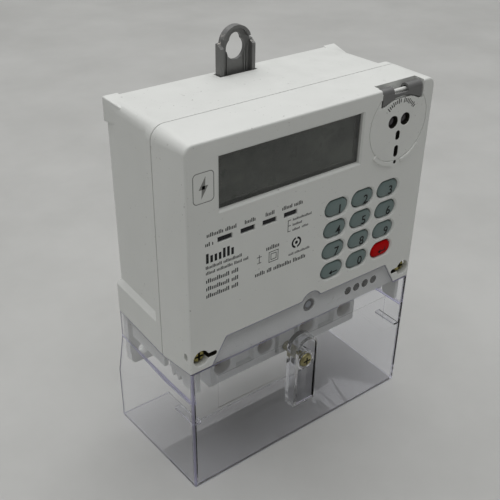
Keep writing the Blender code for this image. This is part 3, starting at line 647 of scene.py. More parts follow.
def front_cover():
    """The keypad face with its walls, openings, port seat, hinge bar and rails."""
    cover = loft("cover_shell", [
        framed("face", HALF, CASE_LOW, CASE_TOP, 0.0, FACE_CORNER),
        framed("mouth", RIM_HALF, RIM_LOW, RIM_TOP, COVER_END, RIM_CORNER)])
    round_edges(cover, 0.9, 4, lambda c, e: max(abs(where(v.co)[1]) for v in e.verts) < 0.01)
    inner, floor, ceiling = HALF - WALL, CASE_LOW + WALL, CASE_TOP - WALL
    block_gap = BLOCK_HALF + 0.6
    carve(cover,
          block("hollow", (-inner, inner), (9.0, 30.0), (floor, ceiling)),
          block("hollow", (-inner, 30.5), (PANEL, 10.0), (84.5, ceiling)),
          block("hollow", (30.0, inner), (PANEL, 10.0), (84.5, 157.0)),
          block("hollow", (-53.0, 53.0), (STEP + PANEL, 10.0), (floor, 85.0)),
          flange_plate("step", 0.0, -3.0, STEP, 50.0),
          block("hollow", (-block_gap, block_gap), (BLOCK_FRONT - 0.6, 30.0), (60.0, floor + 3)))
    carve(cover, joined(*face_openings()))
    holes = [peg("hole", x, AUX_Z, 0.0, 9.0, 2.05, sides=24) for x in AUX_X]
    holes += [peg("hole", 0, BUTTON_Z, 0.0, 9.0, 3.3, sides=32)]
    holes += [peg("dimple", x, AUX_Z, STEP - 1, STEP + 0.25, 2.5, sides=24) for x in (12.5, 18.2)]
    carve(cover, joined(*holes))
    for side in SIDES:
        screw_x = side * SCREW_X
        carve(cover,
              sunk("well", screw_x, SCREW_Z, 7.4, 7.4, 7.0, 3.7, flare=0.3, lip=0.3, steps=12),
              sunk("way", side * 54.2, SCREW_Z, 6.0, 2.3, 7.0, 1.15, flare=0.12, lip=0.15),
              peg("hole", screw_x, SCREW_Z, 6.0, 30.0, 2.1, sides=20))
        middle = (side * HALF, 3.8, SCREW_Z + 0.6)
        seal_hole = rod("seal_hole", middle, 8.0, 1.45, "x", 24)
        edit_all(seal_hole)
        stretch(1, 0.85, 1.35, at(*middle))
        done()
        carve(cover, seal_hole)
    carve(cover, arc_bar("groove", PORT_X, PORT_Z, PORT_R - 0.18, PORT_R + 0.18,
                         -88, 268, -1.0, 0.32, 72))
    x0, x1 = FLAP_X
    bed = block("bed", (x0 - 1.1, x1 + 0.5), (-3.0, 2.6), (FLAP_LOW - 0.5, 175.0))
    knuckle_room = block("room", (x0 - 0.5, x1 + 0.5), (-3.0, HINGE_DEPTH + 2.85),
                         (HINGE_Z - 2.85, 175.0))
    carve(cover, carve(bed, flap_arch(-4.0, 4.0, 0.5)), knuckle_room)
    fuse(cover, ease(block("lug", (x0 - 1.6, x0 - 0.25), (0.15, 3.4), (162.6, 165.3)), 0.3, 3),
         rod("bar", ((x0 + x1) / 2, HINGE_DEPTH, HINGE_Z), x1 - x0 + 4, PIN_R, "x", 24))
    for start, end in ((223, 266), (281, 318)):
        fuse(cover, ease(arc_bar("rib", PORT_X, PORT_Z, PORT_R + 0.1, PORT_R + 1.9,
                                 start, end, -0.7, 0.5), 0.18))
    for side in SIDES:
        fuse(cover, toothed_rail(side))
    tidy_mesh(cover, split=True)
    dress(cover, WHITE, PAINTED_SHADE)
    # Painted shade: near-black on the inner walls of the port's lens holes and slots, the sockets'
    # holes and the screws' side slots.
    paint_where(cover, 1, in_dark_opening)
    return settle(cover, "meter", ["front_cover"])


def face_openings():
    """Cutters for the window, the keys, the status lights and the port's holes."""
    x0, x1, z0, z1 = WINDOW
    cutters = [sunk("window", (x0 + x1) / 2, (z0 + z1) / 2, x1 - x0, z1 - z0, 6.0,
                    flare=0.7, lip=0.6)]
    cutters += [sunk("key", x, z, *KEY_HOLE, 7.0, 4.0, flare=0.75, lip=0.75, steps=10)
                for x in KEY_X for z in KEY_Z]
    cutters += [sunk("light", x, LIGHT_Z, LIGHT_WIDE, LIGHT_TALL, 6.0, flare=0.15, lip=0.2)
                for x in LIGHT_X]
    cutters += [sunk("lens", x, LENS_Z, 5.5, 5.5, 6.0, 2.75, flare=0.2, lip=0.2, steps=10)
                for x in LENS_X]
    cutters += [sunk("slot", SLOT_X, (a + b) / 2, 2.5, b - a, 6.0, 1.25, flare=0.15, lip=0.2)
                for a, b in ((142.9, 147.2), (135.1, 140.4))]
    return cutters + [sunk("hole", SLOT_X, 132.7, 1.7, 1.7, 6.0, 0.85, flare=0.1, lip=0.1)]


def in_dark_opening(c, face):
    """The walls of the port's holes, the sockets' holes and the screws' side slots, which get
    painted shade.
    """
    x, depth, z = c
    if depth < 0.22 or depth > 9.5 or abs(face.normal.y) > 0.9:
        return False
    if any(math.hypot(x - lens, z - LENS_Z) < 3.0 for lens in LENS_X):
        return True
    if abs(x - SLOT_X) < 1.4 and 131.5 < z < 147.6:
        return True
    if any(math.hypot(x - hole, z - AUX_Z) < 2.2 for hole in AUX_X) and depth > STEP + 0.1:
        return True
    return 51.0 < abs(x) < 57.3 and abs(z - SCREW_Z) < 1.3


def toothed_rail(side):
    """The thin skirt inside the clear cover, its lower edge notched into points."""
    rail = block("rail", [side * x for x in RAIL], (3.2, COVER_END - 0.2), (53.6, CASE_LOW + WALL))
    for step in range(3):
        depth = 12.2 + 4.1 * step
        middle = at(0, depth, 52.95)
        notch = block("notch", (side * 57, side * 62), (depth - 1.55, depth + 1.55), (51.4, 54.5))
        edit_all(notch)
        swing(math.radians(45), "X", middle)
        stretch(1, 0.85, 2.4, middle)
        done()
        carve(rail, notch)
    return rail


def flap_arch(d0, d1, lower):
    """The round rise in the lower edge of the flap, as a cutter."""
    half = (FLAP_X[1] - FLAP_X[0]) / 2 - 1.5
    rise = FLAP_ARC - FLAP_LOW
    radius = (half * half + rise * rise) / (2 * rise)
    return peg("arch", sum(FLAP_X) / 2, FLAP_ARC - radius - lower, d0, d1, radius, sides=96)


def rear_case():
    """The rear shell with its rim, foot, corner pads, back plate, lugs and rails."""
    low = RIM_LOW + 0.5
    case = loft("rear_shell", [
        framed("mouth", REAR_HALF, low, REAR_TOP, RIM_START + 0.6, 4.5),
        framed("back", REAR_HALF_BACK, low, REAR_TOP, DEPTH - 0.5, 4.5)])
    rim = framed("rim", RIM_HALF, RIM_LOW, RIM_TOP, RIM_START, RIM_CORNER)
    fuse(case, ease(raise_through(rim, [(RIM_END, 1, 1)]), 0.35, 2, 60), rear_foot())
    for side in SIDES:
        fuse(case, corner_pad(side))
    inner, floor = REAR_HALF_BACK - WALL, RIM_LOW + WALL
    rim_inner = RIM_HALF - WALL
    carve(case,
          block("hollow", (-inner, inner), (RIM_START - 3, 59.0), (floor, REAR_TOP - WALL)),
          block("hollow", (-rim_inner, rim_inner), (RIM_START - 3, RIM_END - 0.8),
                (floor, RIM_TOP - WALL)))
    plate = block("plate", (-60.4, 60.4), (57.0, DEPTH - 0.2), (40.0, RIM_LOW + 1))
    for side in SIDES:
        x = side * LUG_X
        lug = block("lug", (x - 7, x + 7), (57.0, DEPTH - 0.2), (33.5, 41.0))
        round_edges(lug, 3.0, 4, lambda c, e: c[2] < 34 and length_along(e, 1) > 1)
        fuse(plate, lug)
        carve(plate, peg("hole", x, 40.5, 50.0, 70.0, 3.2, sides=32))
    fuse(case, plate)
    for side in SIDES:
        rail = block("rail", [side * x for x in RAIL], (RIM_END - 0.2, 52.5), (53.6, RIM_LOW + 1))
        round_edges(rail, 3.2, 5, lambda c, e: c[2] < 53 and length_along(e, 0) > 1)
        fuse(case, rail)
    block_gap = BLOCK_HALF + 0.6
    carve(case, block("hollow", (-block_gap, block_gap), (RIM_START - 3, 52.6), (50.0, floor + 3)))
    for side in SIDES:
        fuse(case, block("guide", (side * 9.7, side * 11.2), (53.4, 59.5), (112.0, 164.5)),
             peg("boss", side * SCREW_X, SCREW_Z, RIM_END - 0.6, 59.5, 3.6, sides=24))
        carve(case, peg("hole", side * SCREW_X, SCREW_Z, 20.0, 32.0, 2.0, sides=20))
    carve(case, block("slot", (-10.0, 10.0), (53.9, 59.0), (160.0, 170.0)))
    return settle(tidy_mesh(case, split=True), "meter", ["rear_case"], WHITE)


def rear_foot():
    """The thicker band along the bottom of the rear shell, with a sloping ledge."""
    half = RIM_HALF - 0.1
    foot = block("foot", (-half, half), (RIM_END - 0.5, DEPTH), (RIM_LOW + 0.1, LEDGE + 1.6))
    round_edges(foot, 2.3, 1, lambda c, e: abs(c[0]) > HALF and c[2] > LEDGE
                and length_along(e, 1) > 1)
    taper(foot, 63.2 / half, 1, (0, 0, 0), lambda c, v: c[1] > DEPTH - 0.1)
    return ease(foot, 0.25, 2, 30)


def corner_pad(side):
    """A tapered wall pad on an upper rear corner."""
    pad = block("pad", (side * 55.0, side * 62.4), (50.0, DEPTH), (156.5, 167.2))
    taper(pad, 0.72, 0.72, at(side * 56.0, 50, 160.0), lambda c, v: c[1] < 50.1)
    return ease(pad, 0.6, 3)


# ---------------------------------------------------------------- display and lights

def display():
    """The smoked pane, its edges eased, and the sunk liquid crystal behind it."""
    x0, x1, z0, z1 = WINDOW
    pane = block("display_pane", (x0 - 1.5, x1 + 1.5), (PANEL + GAP, PANEL + 1.3),
                 (z0 - 1.5, z1 + 1.5))
    raised = block("raised", (x0 + GAP, x1 - GAP), (1.4, PANEL + 0.6), (z0 + GAP, z1 - GAP))
    round_edges(raised, 0.35, 2, lambda c, e: max(where(v.co)[1] for v in e.verts) < 1.5)
    settle(fuse(pane, raised), "meter", ["display_window"], SMOKED)

    cell = block("liquid_crystal", (x0 - 1.7, x1 + 1.7), (PANEL + 1.7, PANEL + 3.8),
                 (z0 - 1.7, z1 + 1.7))
    choose(cell, "FACE", front_faces)
    bpy.ops.mesh.inset(thickness=3.2 * MM)
    push(0.12)
    done()
    settle(ease(cell, 0.1, 1), "meter", ["display_glass"], CELL)


def status_lights():
    half_x, half_z = LIGHT_WIDE / 2 - GAP, LIGHT_TALL / 2 - GAP
    for number, x in enumerate(LIGHT_X, 1):
        light = block(f"light_window_{number}", (x - half_x, x + half_x), (0.6, 7.5),
                      (LIGHT_Z - half_z, LIGHT_Z + half_z))
        choose(light, "FACE", front_faces)
        bpy.ops.mesh.inset(thickness=0.25 * MM)
        shift(depth=-0.15)
        done()
        settle(light, "meter", [f"status_light_{number}"], WINDOW_BLACK)


# ---------------------------------------------------------------- keypad

def lettering(name, text, x, z, height, depth, thick, paint, bold):
    """Raised print: a text made a mesh, then stood up against the face."""
    bpy.ops.object.text_add()
    words = bpy.context.active_object
    words.data.body = text
    words.data.align_x = words.data.align_y = "CENTER"
    words.data.size = height * MM * 1.38
    words.data.extrude = thick / 2 * MM
    words.data.offset = bold * MM
    words.data.resolution_u = 4
    bpy.ops.object.convert(target="MESH")
    words = bpy.context.active_object
    words.rotation_euler = (math.radians(90), 0, 0)
    words.location = at(x, depth, z)
    return made(name, paint)


def arrow(x, z, long, high):
    """A flat arrow that points to the left."""
    depth, tip, thin = (0.0, 0.06), x - long / 2, high * 0.11
    shaft = block("legend", (tip, x + long / 2), depth, (z - thin, z + thin), INK)
    head = block("head", (tip + high * 0.6, tip), depth, (z - high / 2, z + high / 2), INK)
    for up in (-1, 1):
        slice_off(head, (tip, 0, z), (-0.5, 0, up * 0.6))
    return joined(head, shaft)


def legend_piece(legend, x, z):
    """The print on a key: a digit, an arrow, or an arrow with a stem."""
    if legend.isdigit():
        return lettering("legend", legend, x, z, 4.3, 0.04, 0.08, INK, 0.05)
    print_piece = arrow(x - 1.0, z, 4.8, 2.6)
    if legend == "enter":
        stem = block("stem", (x + 0.75, x + 1.2), (0.0, 0.06), (z, z + 1.6), INK)
        print_piece = joined(stem, print_piece)
    return print_piece


def key_blank():
    """A key at the first place: a flange, then a crowned oval cap."""
    wide, tall = KEY_FLANGE
    blank = outline("key_blank", KEY_X[0], KEY_Z[0], wide, tall, 3.8, 4.4, 12)
    raise_through(blank, [
        (3.0, 1, 1), (3.0, KEY_CAP[0] / wide, KEY_CAP[1] / tall), (1.1, 1, 1), (0.72, 0.985, 0.975),
        (0.42, 0.965, 0.945), (0.22, 0.93, 0.89), (0.11, 0.85, 0.78), (0.06, 0.7, 0.6)])
    return tidy_mesh(blank)


def keys():
    blank = key_blank()
    for z, legends in zip(KEY_Z, LEGENDS):
        for x, legend in zip(KEY_X, legends):
            red = legend == "enter"
            cap = twin(blank, f"cap_{legend}", x - KEY_X[0], 0.0, z - KEY_Z[0])
            dress(cap, KEY_RED if red else KEY_GREY)
            cap = joined(legend_piece(legend, x + 1.7, z - 1.2), cap)
            settle(cap, f"key_{legend}",
                   [f"key_{legend}"], smooth=40)
    bpy.data.objects.remove(blank)


# ---------------------------------------------------------------- print on the face

def tick_text(x, z, long, tall, gaps=(), weight=0.6):
    """A line of small upright ticks in word groups, standing for a line of print."""
    pitch = tall * 0.46
    count = max(2, int(long / pitch))
    ticks = []
    for index in range(count):
        if any(abs(index / count - g) < 0.6 / count for g in gaps):
            continue
        left = x + index * pitch
        height = tall * (1.0, 0.72, 0.72, 1.0, 0.72)[(index * 7 + int(long)) % 5]
        ticks.append(block("tick", (left, left + pitch * weight), INK_DEPTH,
                           (z - tall / 2, z - tall / 2 + height)))
    return ticks


def bars(*strokes):
    """Boxes of ink from (x from, x to, z from, z to)."""
    return [block("bar", (a, b), INK_DEPTH, (c, d)) for a, b, c, d in strokes]


def square(x, z, half, thick=0.3):
    """The four strokes of a square."""
    x0, x1, z0, z1 = x - half, x + half, z - half, z + half
    return bars((x0, x1, z1 - thick, z1), (x0, x1, z0, z0 + thick),
                (x0, x0 + thick, z0, z1), (x1 - thick, x1, z0, z1))


def face_print():
    """All the small print of the face: lines of ticks, a double square and a ring."""
    lines = [
        # x, height, length, tall, places of the gaps between words
        (-55.3, 129.4, 14.5, 1.7, (0.55,)), (-37.5, 129.4, 5.6, 1.7), (-27.3, 129.4, 5.2, 1.7),
        (-18.9, 129.4, 11.5, 1.7, (0.5,)), (-56.0, 125.6, 4.6, 1.7, (0.6,)),
        (-55.8, 119.4, 15.6, 4.3, (), 0.62), (-56.0, 115.4, 18.0, 1.4, (0.45,)),
        (-56.0, 112.9, 21.0, 1.4, (0.22, 0.62, 0.85)), (-56.0, 109.3, 16.0, 1.9, (0.72,)),
        (-56.0, 105.8, 16.0, 1.9, (0.72,)), (-56.0, 102.4, 16.0, 1.9, (0.72,)),
        (-26.5, 113.6, 7.0, 1.9), (-14.5, 106.5, 12.0, 1.2, (0.25,)),
        (-32.0, 103.0, 27.5, 1.9, (0.2, 0.32, 0.72)), (-13.0, 122.7, 10.5, 1.1),
        (-13.0, 120.3, 5.5, 1.1), (-13.0, 117.9, 9.0, 1.1, (0.5,))]
    marks = [tick for line in lines for tick in tick_text(*line)]
    marks += square(-22.6, 109.0, 2.5) + square(-22.6, 109.0, 1.5)
    marks += bars((-15.6, -15.3, 117.6, 123.0), (-15.6, -14.0, 122.7, 123.0),
                  (-15.6, -14.0, 120.2, 120.5), (-15.6, -14.0, 117.6, 117.9),
                  (-31.2, -28.8, 110.8, 111.1), (-30.15, -29.85, 108.0, 112.0),
                  (-31.0, -29.0, 108.0, 108.3))
    x, z = -10.5, 111.2
    ring = rod("ring", (x, sum(INK_DEPTH) / 2, z), INK_DEPTH[1] - INK_DEPTH[0], 2.6)
    carve(ring, rod("hole", (x, 0.0, z), 3.0, 1.7),
          block("gap", (x - 0.4, x + 0.4), (-1, 1), (z + 1.8, z + 3.3)),
          block("gap", (x - 0.4, x + 0.4), (-1, 1), (z - 3.2, z - 1.6)))
    core = peg("core", x, z, *INK_DEPTH, 0.8, sides=24)
    print_of(joined(*marks, ring, core), "face_print", INK)
    sign()


def print_of(ink, name, paint):
    """Names a set of printed marks and puts it on the meter."""
    ink.name = ink.data.name = name
    settle(ink, "meter", (), paint, smooth=0)


def triangle(name, corners):
    """A flat three-cornered mark, cut from a block; corners run clockwise."""
    xs, zs = zip(*corners)
    mark = block(name, (min(xs), max(xs)), INK_DEPTH, (min(zs), max(zs)))
    for (ax, az), (bx, bz) in zip(corners, corners[1:] + corners[:1]):
        if abs(az - bz) > 0.01:
            slice_off(mark, (ax, 0, az), (az - bz, 0, bx - ax))
    return mark


def sign():
    """A plain supply sign in thin grey lines: a bolt in a rounded frame."""
    x, z = -56.3, 149.6
    rear, front = INK_DEPTH
    rim = raise_through(outline("rim", x, z, 9.4, 12.4, rear, 1.8, 6), [(front, 1, 1)])
    carve(rim, raise_through(outline("hole", x, z, 8.7, 11.7, -1.0, 1.5, 6), [(1.0, 1, 1)]))
    halves = [triangle("bolt", [(x + turn * a, z + turn * b)
                                for a, b in ((1.0, 4.4), (0.6, -0.7), (-2.1, -0.7))])
              for turn in (1, -1)]
    print_of(joined(*halves, rim), "supply_sign", GREY_INK)


def port_print():
    """Ticks round the top of the optical port, in two words."""
    reach, count, between = 10.2, 17, 8
    marks = []
    for index in range(count):
        if index == between:
            continue
        angle = math.radians(134 - index * 6.0)
        x, z = PORT_X + 0.3 + reach * math.cos(angle), PORT_Z + reach * math.sin(angle)
        tall = (2.2, 1.6, 1.6)[index % 3]
        tick = block("tick", (x - 0.24, x + 0.24), INK_DEPTH, (z - tall / 2, z + tall / 2))
        edit_all(tick)
        swing(angle - math.pi / 2, "Y", at(x, 0, z))
        done()
        marks.append(tick)
    print_of(joined(*marks), "port_print", INK)


# ---------------------------------------------------------------- optical port

def port():
    """The two domed lenses, and a black sheet behind the port's slots that is painted shade to
    darken them.
    """
    for side, x in zip(("left", "right"), LENS_X):
        lens = peg(f"lens_{side}", x, LENS_Z, 1.9, 7.5, 2.45)
        choose(lens, "FACE", front_faces)
        for inset, out in ((0.35, 0.32), (0.5, 0.26), (0.6, 0.16), (0.6, 0.06)):
            bpy.ops.mesh.inset(thickness=inset * MM)
            shift(depth=-out)
        done()
        settle(lens, "meter", [f"port_lens_{side}"], LENS)
    # Painted shade: a black sheet behind the slots so that they read dark.
    slot_shade = block("port_slot_shade", (SLOT_X - 2.6, SLOT_X + 2.6), (PANEL + 0.05, PANEL + 0.9),
                   (131.0, 148.3))
    settle(ease(slot_shade, 0.2, 2), "meter", (), BLACK)


def port_flap():
    """A thin plate under two knuckles that wrap the bar."""
    x0, x1 = FLAP_X
    front = HINGE_DEPTH - KNUCKLE_R
    flap = block("flap_plate", (x0, x1), (front, front + 1.0), (FLAP_LOW, HINGE_Z - 0.4))
    ease(carve(flap, flap_arch(-4.0, 8.0, 0.0)), 0.15, 2)
    for a, b in ((x0, 40.0), (48.3, x1)):
        knuckle = rod("knuckle", ((a + b) / 2, HINGE_DEPTH, HINGE_Z), b - a, KNUCKLE_R, "x")
        fuse(flap, ease(knuckle, 0.25, 2))
    carve(flap, rod("bore", (45, HINGE_DEPTH, HINGE_Z), 40.0, 1.4, "x", 28))
    settle(tidy_mesh(flap), "port_flap", ["port_flap"], DARK)


# ---------------------------------------------------------------- hanger

def hanger():
    """A sheet with folded sides and a folded rim round the top of its keyhole."""
    half, d0, d1, z0, z1 = span("hanger_tab")[1:]
    shoulder, arch = z1 - 7.0, half - 1.5
    spring = z1 - arch
    plate = block("hanger_plate", (-half, half), (d1 - 1.6, d1), (z0, shoulder))
    fuse(plate, peg("arch", 0, spring, d1 - 1.6, d1, arch, sides=64),
         arc_bar("rim", 0, spring, arch - 1.3, arch, 20, 160, d0 + 0.7, d1 - 0.8, 24))
    for side in SIDES:
        cheek = block("cheek", (side * (half - 1.7), side * half), (d0, d1 - 0.5),
                      (z0, shoulder + 0.4))
        fuse(plate, slice_off(cheek, (0, d1 - 1.0, shoulder + 0.1), (0, -0.62, 1.0)))
        for inset in (3.0, 4.4):
            fuse(plate, block("rib", (side * (half - inset), side * (half - inset - 0.5)),
                              (d1 - 2.2, d1 - 1.0), (z0, shoulder - 2.5)))
    carve(plate, peg("keyhole", 0, KEYHOLE_Z, d0 - 5, d1 + 5, 4.9, sides=48),
          peg("neck", 0, NECK_Z, d0 - 5, d1 + 5, 3.2))
    ease(tidy_mesh(plate), 0.3, 2, 50)
    dress(plate, HANGER, RIM_WEAR_AND_HIGHLIGHT)
    # Painted highlight, with real wear: the lighter, speckled finish on the rim's upward and side
    # faces stands for light catching them as well as for bright chips.
    paint_where(plate, 1, lambda c, f: c[2] > shoulder - 3.5 and abs(f.normal.y) < 0.88
                and (f.normal.z > 0.1 or abs(f.normal.x) > 0.6)
                and math.hypot(c[0], c[2] - spring) > arch - 0.6)
    settle(plate, "hanger_tab", ["hanger_tab"])


# ---------------------------------------------------------------- terminals

def terminal_block():
    """The white block with its screw wells, wire ways, recesses and tapped middle."""
    front, low, high = BLOCK_FRONT, BLOCK_LOW, 78.0
    body = ease(block("block_body", (-BLOCK_HALF, BLOCK_HALF), (front, 52.0), (low, high)), 0.5, 2)
    for x in TERMINAL_X:
        carve(body, block("pocket", (x - 4.6, x + 4.6), (24.6, 38.4), (41.0, 61.0)))
        well = outline("well", x, TERMINAL_Z, 9.0, 9.0, 27.0, 4.5, 10)
        mouth = 10.4 / 9
        raise_through(well, [(front + 0.7, 1, 1), (front, mouth, mouth), (front - 2, 1.25, 1.25)])
        carve(body, well, rod("wire", (x, 32.0, 40.0), 8.0, 3.7, "z", 32),
              block("way", (x - 3.4, x + 3.4), (35.6, 37.8), (60.0, 82.0)))
    for left, right in (TERMINAL_X[:2], TERMINAL_X[2:]):
        recess = block("recess", (left + 6.2, right - 6.2), (front - 3, front + 2.5), (42.8, 54.5))
        taper(recess, 0.72, 0.78, at((left + right) / 2, 0, 49.5), lambda c, v: c[1] > front)
        carve(body, recess)
    for side in SIDES:
        carve(body, block("notch", (side * 4.6, side * 7.0), (front - 3, front + 3), (40.0, 54.5)))
    carve(body, peg("tapped", 0, COVER_SCREW_Z, front - 3, front + 12, 2.6, sides=24),
          block("toe", (-BLOCK_HALF - 3, BLOCK_HALF + 3), (front - 3, front + 1.5),
                (low - 3, low + 1.8)))
    settle(tidy_mesh(body), "meter", ["terminal_block"], WHITE_INSIDE)


def cross_cut(x, z, reach, width, d0, d1):
    """Cutters for a cross-head recess that narrows to the bottom."""
    arms = []
    for a, b in ((reach, width), (width, reach)):
        arm = block("arm", (x - a, x + a), (d0, d1), (z - b, z + b))
        taper(arm, 0.45, 0.45, at(x, d1, z), lambda c, v: c[1] > d1 - 0.01)
        arms.append(arm)
    return arms


def pan_screw(name, x, z, front, head_r, head_deep, shank_r, end, paint, reach, width):
    """A pan-head screw: domed head, cross recess and a shank."""
    screw = peg(name, x, z, front + head_deep * 0.45, front + head_deep, head_r)
    choose(screw, "FACE", front_faces)
    for share, out in ((0.10, 0.30), (0.14, 0.16), (0.2, 0.09)):
        push(-out * head_deep * 0.82)
        stretch(1 - share, 1, 1 - share, at(x, 0, z))
    done()
    fuse(screw, peg("shank", x, z, front + head_deep - 0.2, end, shank_r, sides=28))
    carve(screw, *cross_cut(x, z, reach, width, front - 1.0, front + head_deep * 0.75))
    dress(screw, paint, PAINTED_SHADE)
    # Painted shade: near-black in the depth of the cross recess.
    paint_where(screw, 1, lambda c, f: math.hypot(c[0] - x, c[2] - z) < reach + 0.05
                and front + head_deep * 0.22 < c[1] < front + head_deep * 0.8)
    return tidy_mesh(screw)


def screws():
    for number, x in enumerate(TERMINAL_X, 1):
        stands_for = f"terminal_screw_{number}"
        d0, d1 = span(stands_for)[2:4]
        screw = pan_screw(f"clamp_screw_{number}", x, TERMINAL_Z, d0, 3.6, 2.6, 2.5, d1,
                          TERMINAL_SCREW, 2.5, 0.55)
        settle(screw, "meter", [stands_for])
    for side, name in zip(SIDES, ("left", "right")):
        stands_for = f"case_screw_{name}"
        d0, d1 = span(stands_for)[2:4]
        x = side * SCREW_X
        screw = pan_screw(f"sealing_screw_{name}", x, SCREW_Z, d0 - 0.4, 3.15, 2.6, 1.7, d1,
                          CASE_SCREW, 2.45, 0.65)
        carve(screw, rod("seal_bore", (x, d0 + 1.4, SCREW_Z + 1.4), 9.0, 0.55, "x", 12))
        settle(screw, "meter", [stands_for])
    d0, d1 = span("cover_screw")[2:4]
    screw = pan_screw("captive_screw", 0, COVER_SCREW_Z, d0, 3.6, 2.4, 2.25, d1,
                      COVER_SCREW, 2.5, 0.55)
    settle(screw, "terminal_cover", ["cover_screw"])


def plunger():
    """The round button under the clear flange: a dark ring with a pale heart."""
    d0, d1 = span("cover_button")[2:4]
    ring = peg("plunger_ring", 0, BUTTON_Z, d0, d1, 3.0, sides=48)
    choose(ring, "FACE", front_faces)
    for inset in (0.2, 0.75):
        bpy.ops.mesh.inset(thickness=inset * MM)
    push(0.5)
    done()
    dress(ring, BLACK)
    heart = peg("heart", 0, BUTTON_Z, d0 + 0.15, d0 + 0.7, 1.7, sides=32, paint=PALE)
    settle(joined(ease(heart, 0.2, 2), ring), "cover_button", ["cover_button"])


# ---------------------------------------------------------------- clear cover

def clear_skin(rear, top):
    """The outer faces of the clear cover: front, sides and bottom, flared at the lower rear."""
    skin = block("clear_terminal_cover", (-HALF, HALF), (0.0, rear), (0.0, top))
    edit(skin)
    pick("FACE", lambda c, f: f.normal.z > 0.9 or f.normal.y > 0.9)
    bpy.ops.mesh.delete(type="FACE")
    done()
    crease(skin, (0, WIDEST, 0), (0, 1, 0))
    crease(skin, (0, 0, CREASE_Z), (0, 0, 1))
    for near, far in zip(FLARE, FLARE[1:]):
        crease(skin, (0, *near), (0, far[1] - near[1], near[0] - far[0]),
               lambda c, f: abs(f.normal.x) > 0.9 and c[1] > WIDEST and c[2] < CREASE_Z)

    edit(skin, "VERT")
    mesh = bmesh.from_edit_mesh(skin.data)
    for vert in mesh.verts:
        x, depth, z = where(vert.co)
        if abs(x) > HALF - 4:
            vert.co.x = math.copysign(half_width(depth, z, rear), x) * MM
        if z > top - 0.1 and depth > 20.0:
            vert.co.z = (RIM_LOW - GAP) * MM
    bmesh.update_edit_mesh(skin.data)
    done()
    round_edges(skin, 0.9, 3, lambda c, e: abs(abs(c[0]) - HALF) < 0.3
                and max(where(v.co)[1] for v in e.verts) < 0.1)
    round_edges(skin, 1.2, 3, lambda c, e: max(where(v.co)[2] for v in e.verts) < 0.1
                and len(e.link_faces) == 2
                and abs(e.link_faces[0].normal.dot(e.link_faces[1].normal)) < 0.5)
    return tidy_mesh(skin)


def half_width(depth, z, rear):
    """Half the clear cover's width at a depth and height."""
    if depth <= WIDEST:
        half = HALF + (WIDEST_HALF - HALF) * depth / WIDEST
    else:
        half = WIDEST_HALF - (WIDEST_HALF - REAR_END_HALF) * (depth - WIDEST) / (rear - WIDEST)
    start = FLARE[0][0]
    if depth > start and z < flare_height(depth) + 0.3:
        half += 3.2 * (depth - start) / (rear - start)
    return half


def flare_height(depth):
    """Height of the crease below which the side wall flares out."""
    for (d0, z0), (d1, z1) in zip(FLARE, FLARE[1:]):
        if depth <= d1 + 0.05:
            return z0 + (z1 - z0) * (depth - d0) / (d1 - d0)
    return FLARE[-1][1]


def clear_cover():
    """The clear cover: flared walls, tongue, inner ridges, beads and the screw's pocket."""
    rear = span("terminal_cover")[3]
    cover = clear_skin(rear, CASE_LOW - GAP)
    solid = cover.modifiers.new("wall", "SOLIDIFY")
    solid.thickness = CLEAR_WALL * MM
    solid.offset = -1.0
    solid.use_even_offset = True
    hold(cover)
    bpy.ops.object.modifier_apply(modifier=solid.name)
    carve(cover, block("way", (-38.0, 38.0), (35.0, 70.0), (-3.0, 5.0)))
    fuse(cover, flange_plate("tongue", GAP, 0.0, CLEAR_WALL, 60.0))
    for side in SIDES:
        outer = side * (HALF - 0.9)
        fuse(cover,
             block("ridge", (outer, side * (HALF - 2.4)), (1.0, rear - 2.5),
                   (CREASE_Z - 0.6, CREASE_Z)),
             block("rib", (outer, side * (HALF - 4.4)), (1.0, 15.0), (37.4, 38.5)))
    for side in SIDES:
        fuse(cover, wall_bead(side, 1.4, WIDEST, HALF, WIDEST_HALF),
             wall_bead(side, WIDEST, rear - 0.4, WIDEST_HALF, REAR_END_HALF))
    carve(cover, block("step", (-50.3, 50.3), (1.6, 2.6), (41.2, 59.0)))
    fuse(cover, arched("pocket_wall", POCKET_OUTER, 0.5, 7.9, 17.1))
    carve(cover, arched("pocket", POCKET_INNER, -3.0, 6.0, 19.0))
    fuse(cover, peg("boss", 0, COVER_SCREW_Z, 1.0, 6.5, 4.9))
    carve(cover, peg("head_room", 0, COVER_SCREW_Z, -3.0, 2.6, 4.0),
          peg("hole", 0, COVER_SCREW_Z, 2.0, 12.0, 2.7, sides=32))
    ease(tidy_mesh(cover), 0.22, 2, 50)
    dress(cover, CLEAR, CLEAR_EDGE, PALE_EDGE)
    # Painted light on the clear edges: a violet glow on the cut ends, a pale highlight where light
    # is piped out.
    for slot, test in enumerate((is_edge, is_pale_edge), 1):
        paint_where(cover, slot, lambda c, f: test(c, f, rear))
    settle(cover, "terminal_cover", ["terminal_cover"], smooth=20)


def arched(name, half, d0, d1, low):
    """A block with a round top, for the pocket that the screw stands in."""
    return fuse(block(name, (-half, half), (d0, d1), (low, POCKET_ARCH_Z)),
                peg("arch", 0, POCKET_ARCH_Z, d0, d1, half, sides=48))


def wall_bead(side, d0, d1, half0, half1):
    """A fine raised line along the outside of a side wall."""
    bead = block("bead", (side * (HALF - 0.7), side * (HALF + 0.22)), (d0, d1), (49.75, 50.15))
    edit(bead, "VERT")
    for depth, half in ((d0, half0), (d1, half1)):
        pick("VERT", lambda c, v: abs(c[1] - depth) < 0.01)
        shift(x=side * (half - HALF))
    done()
    return bead


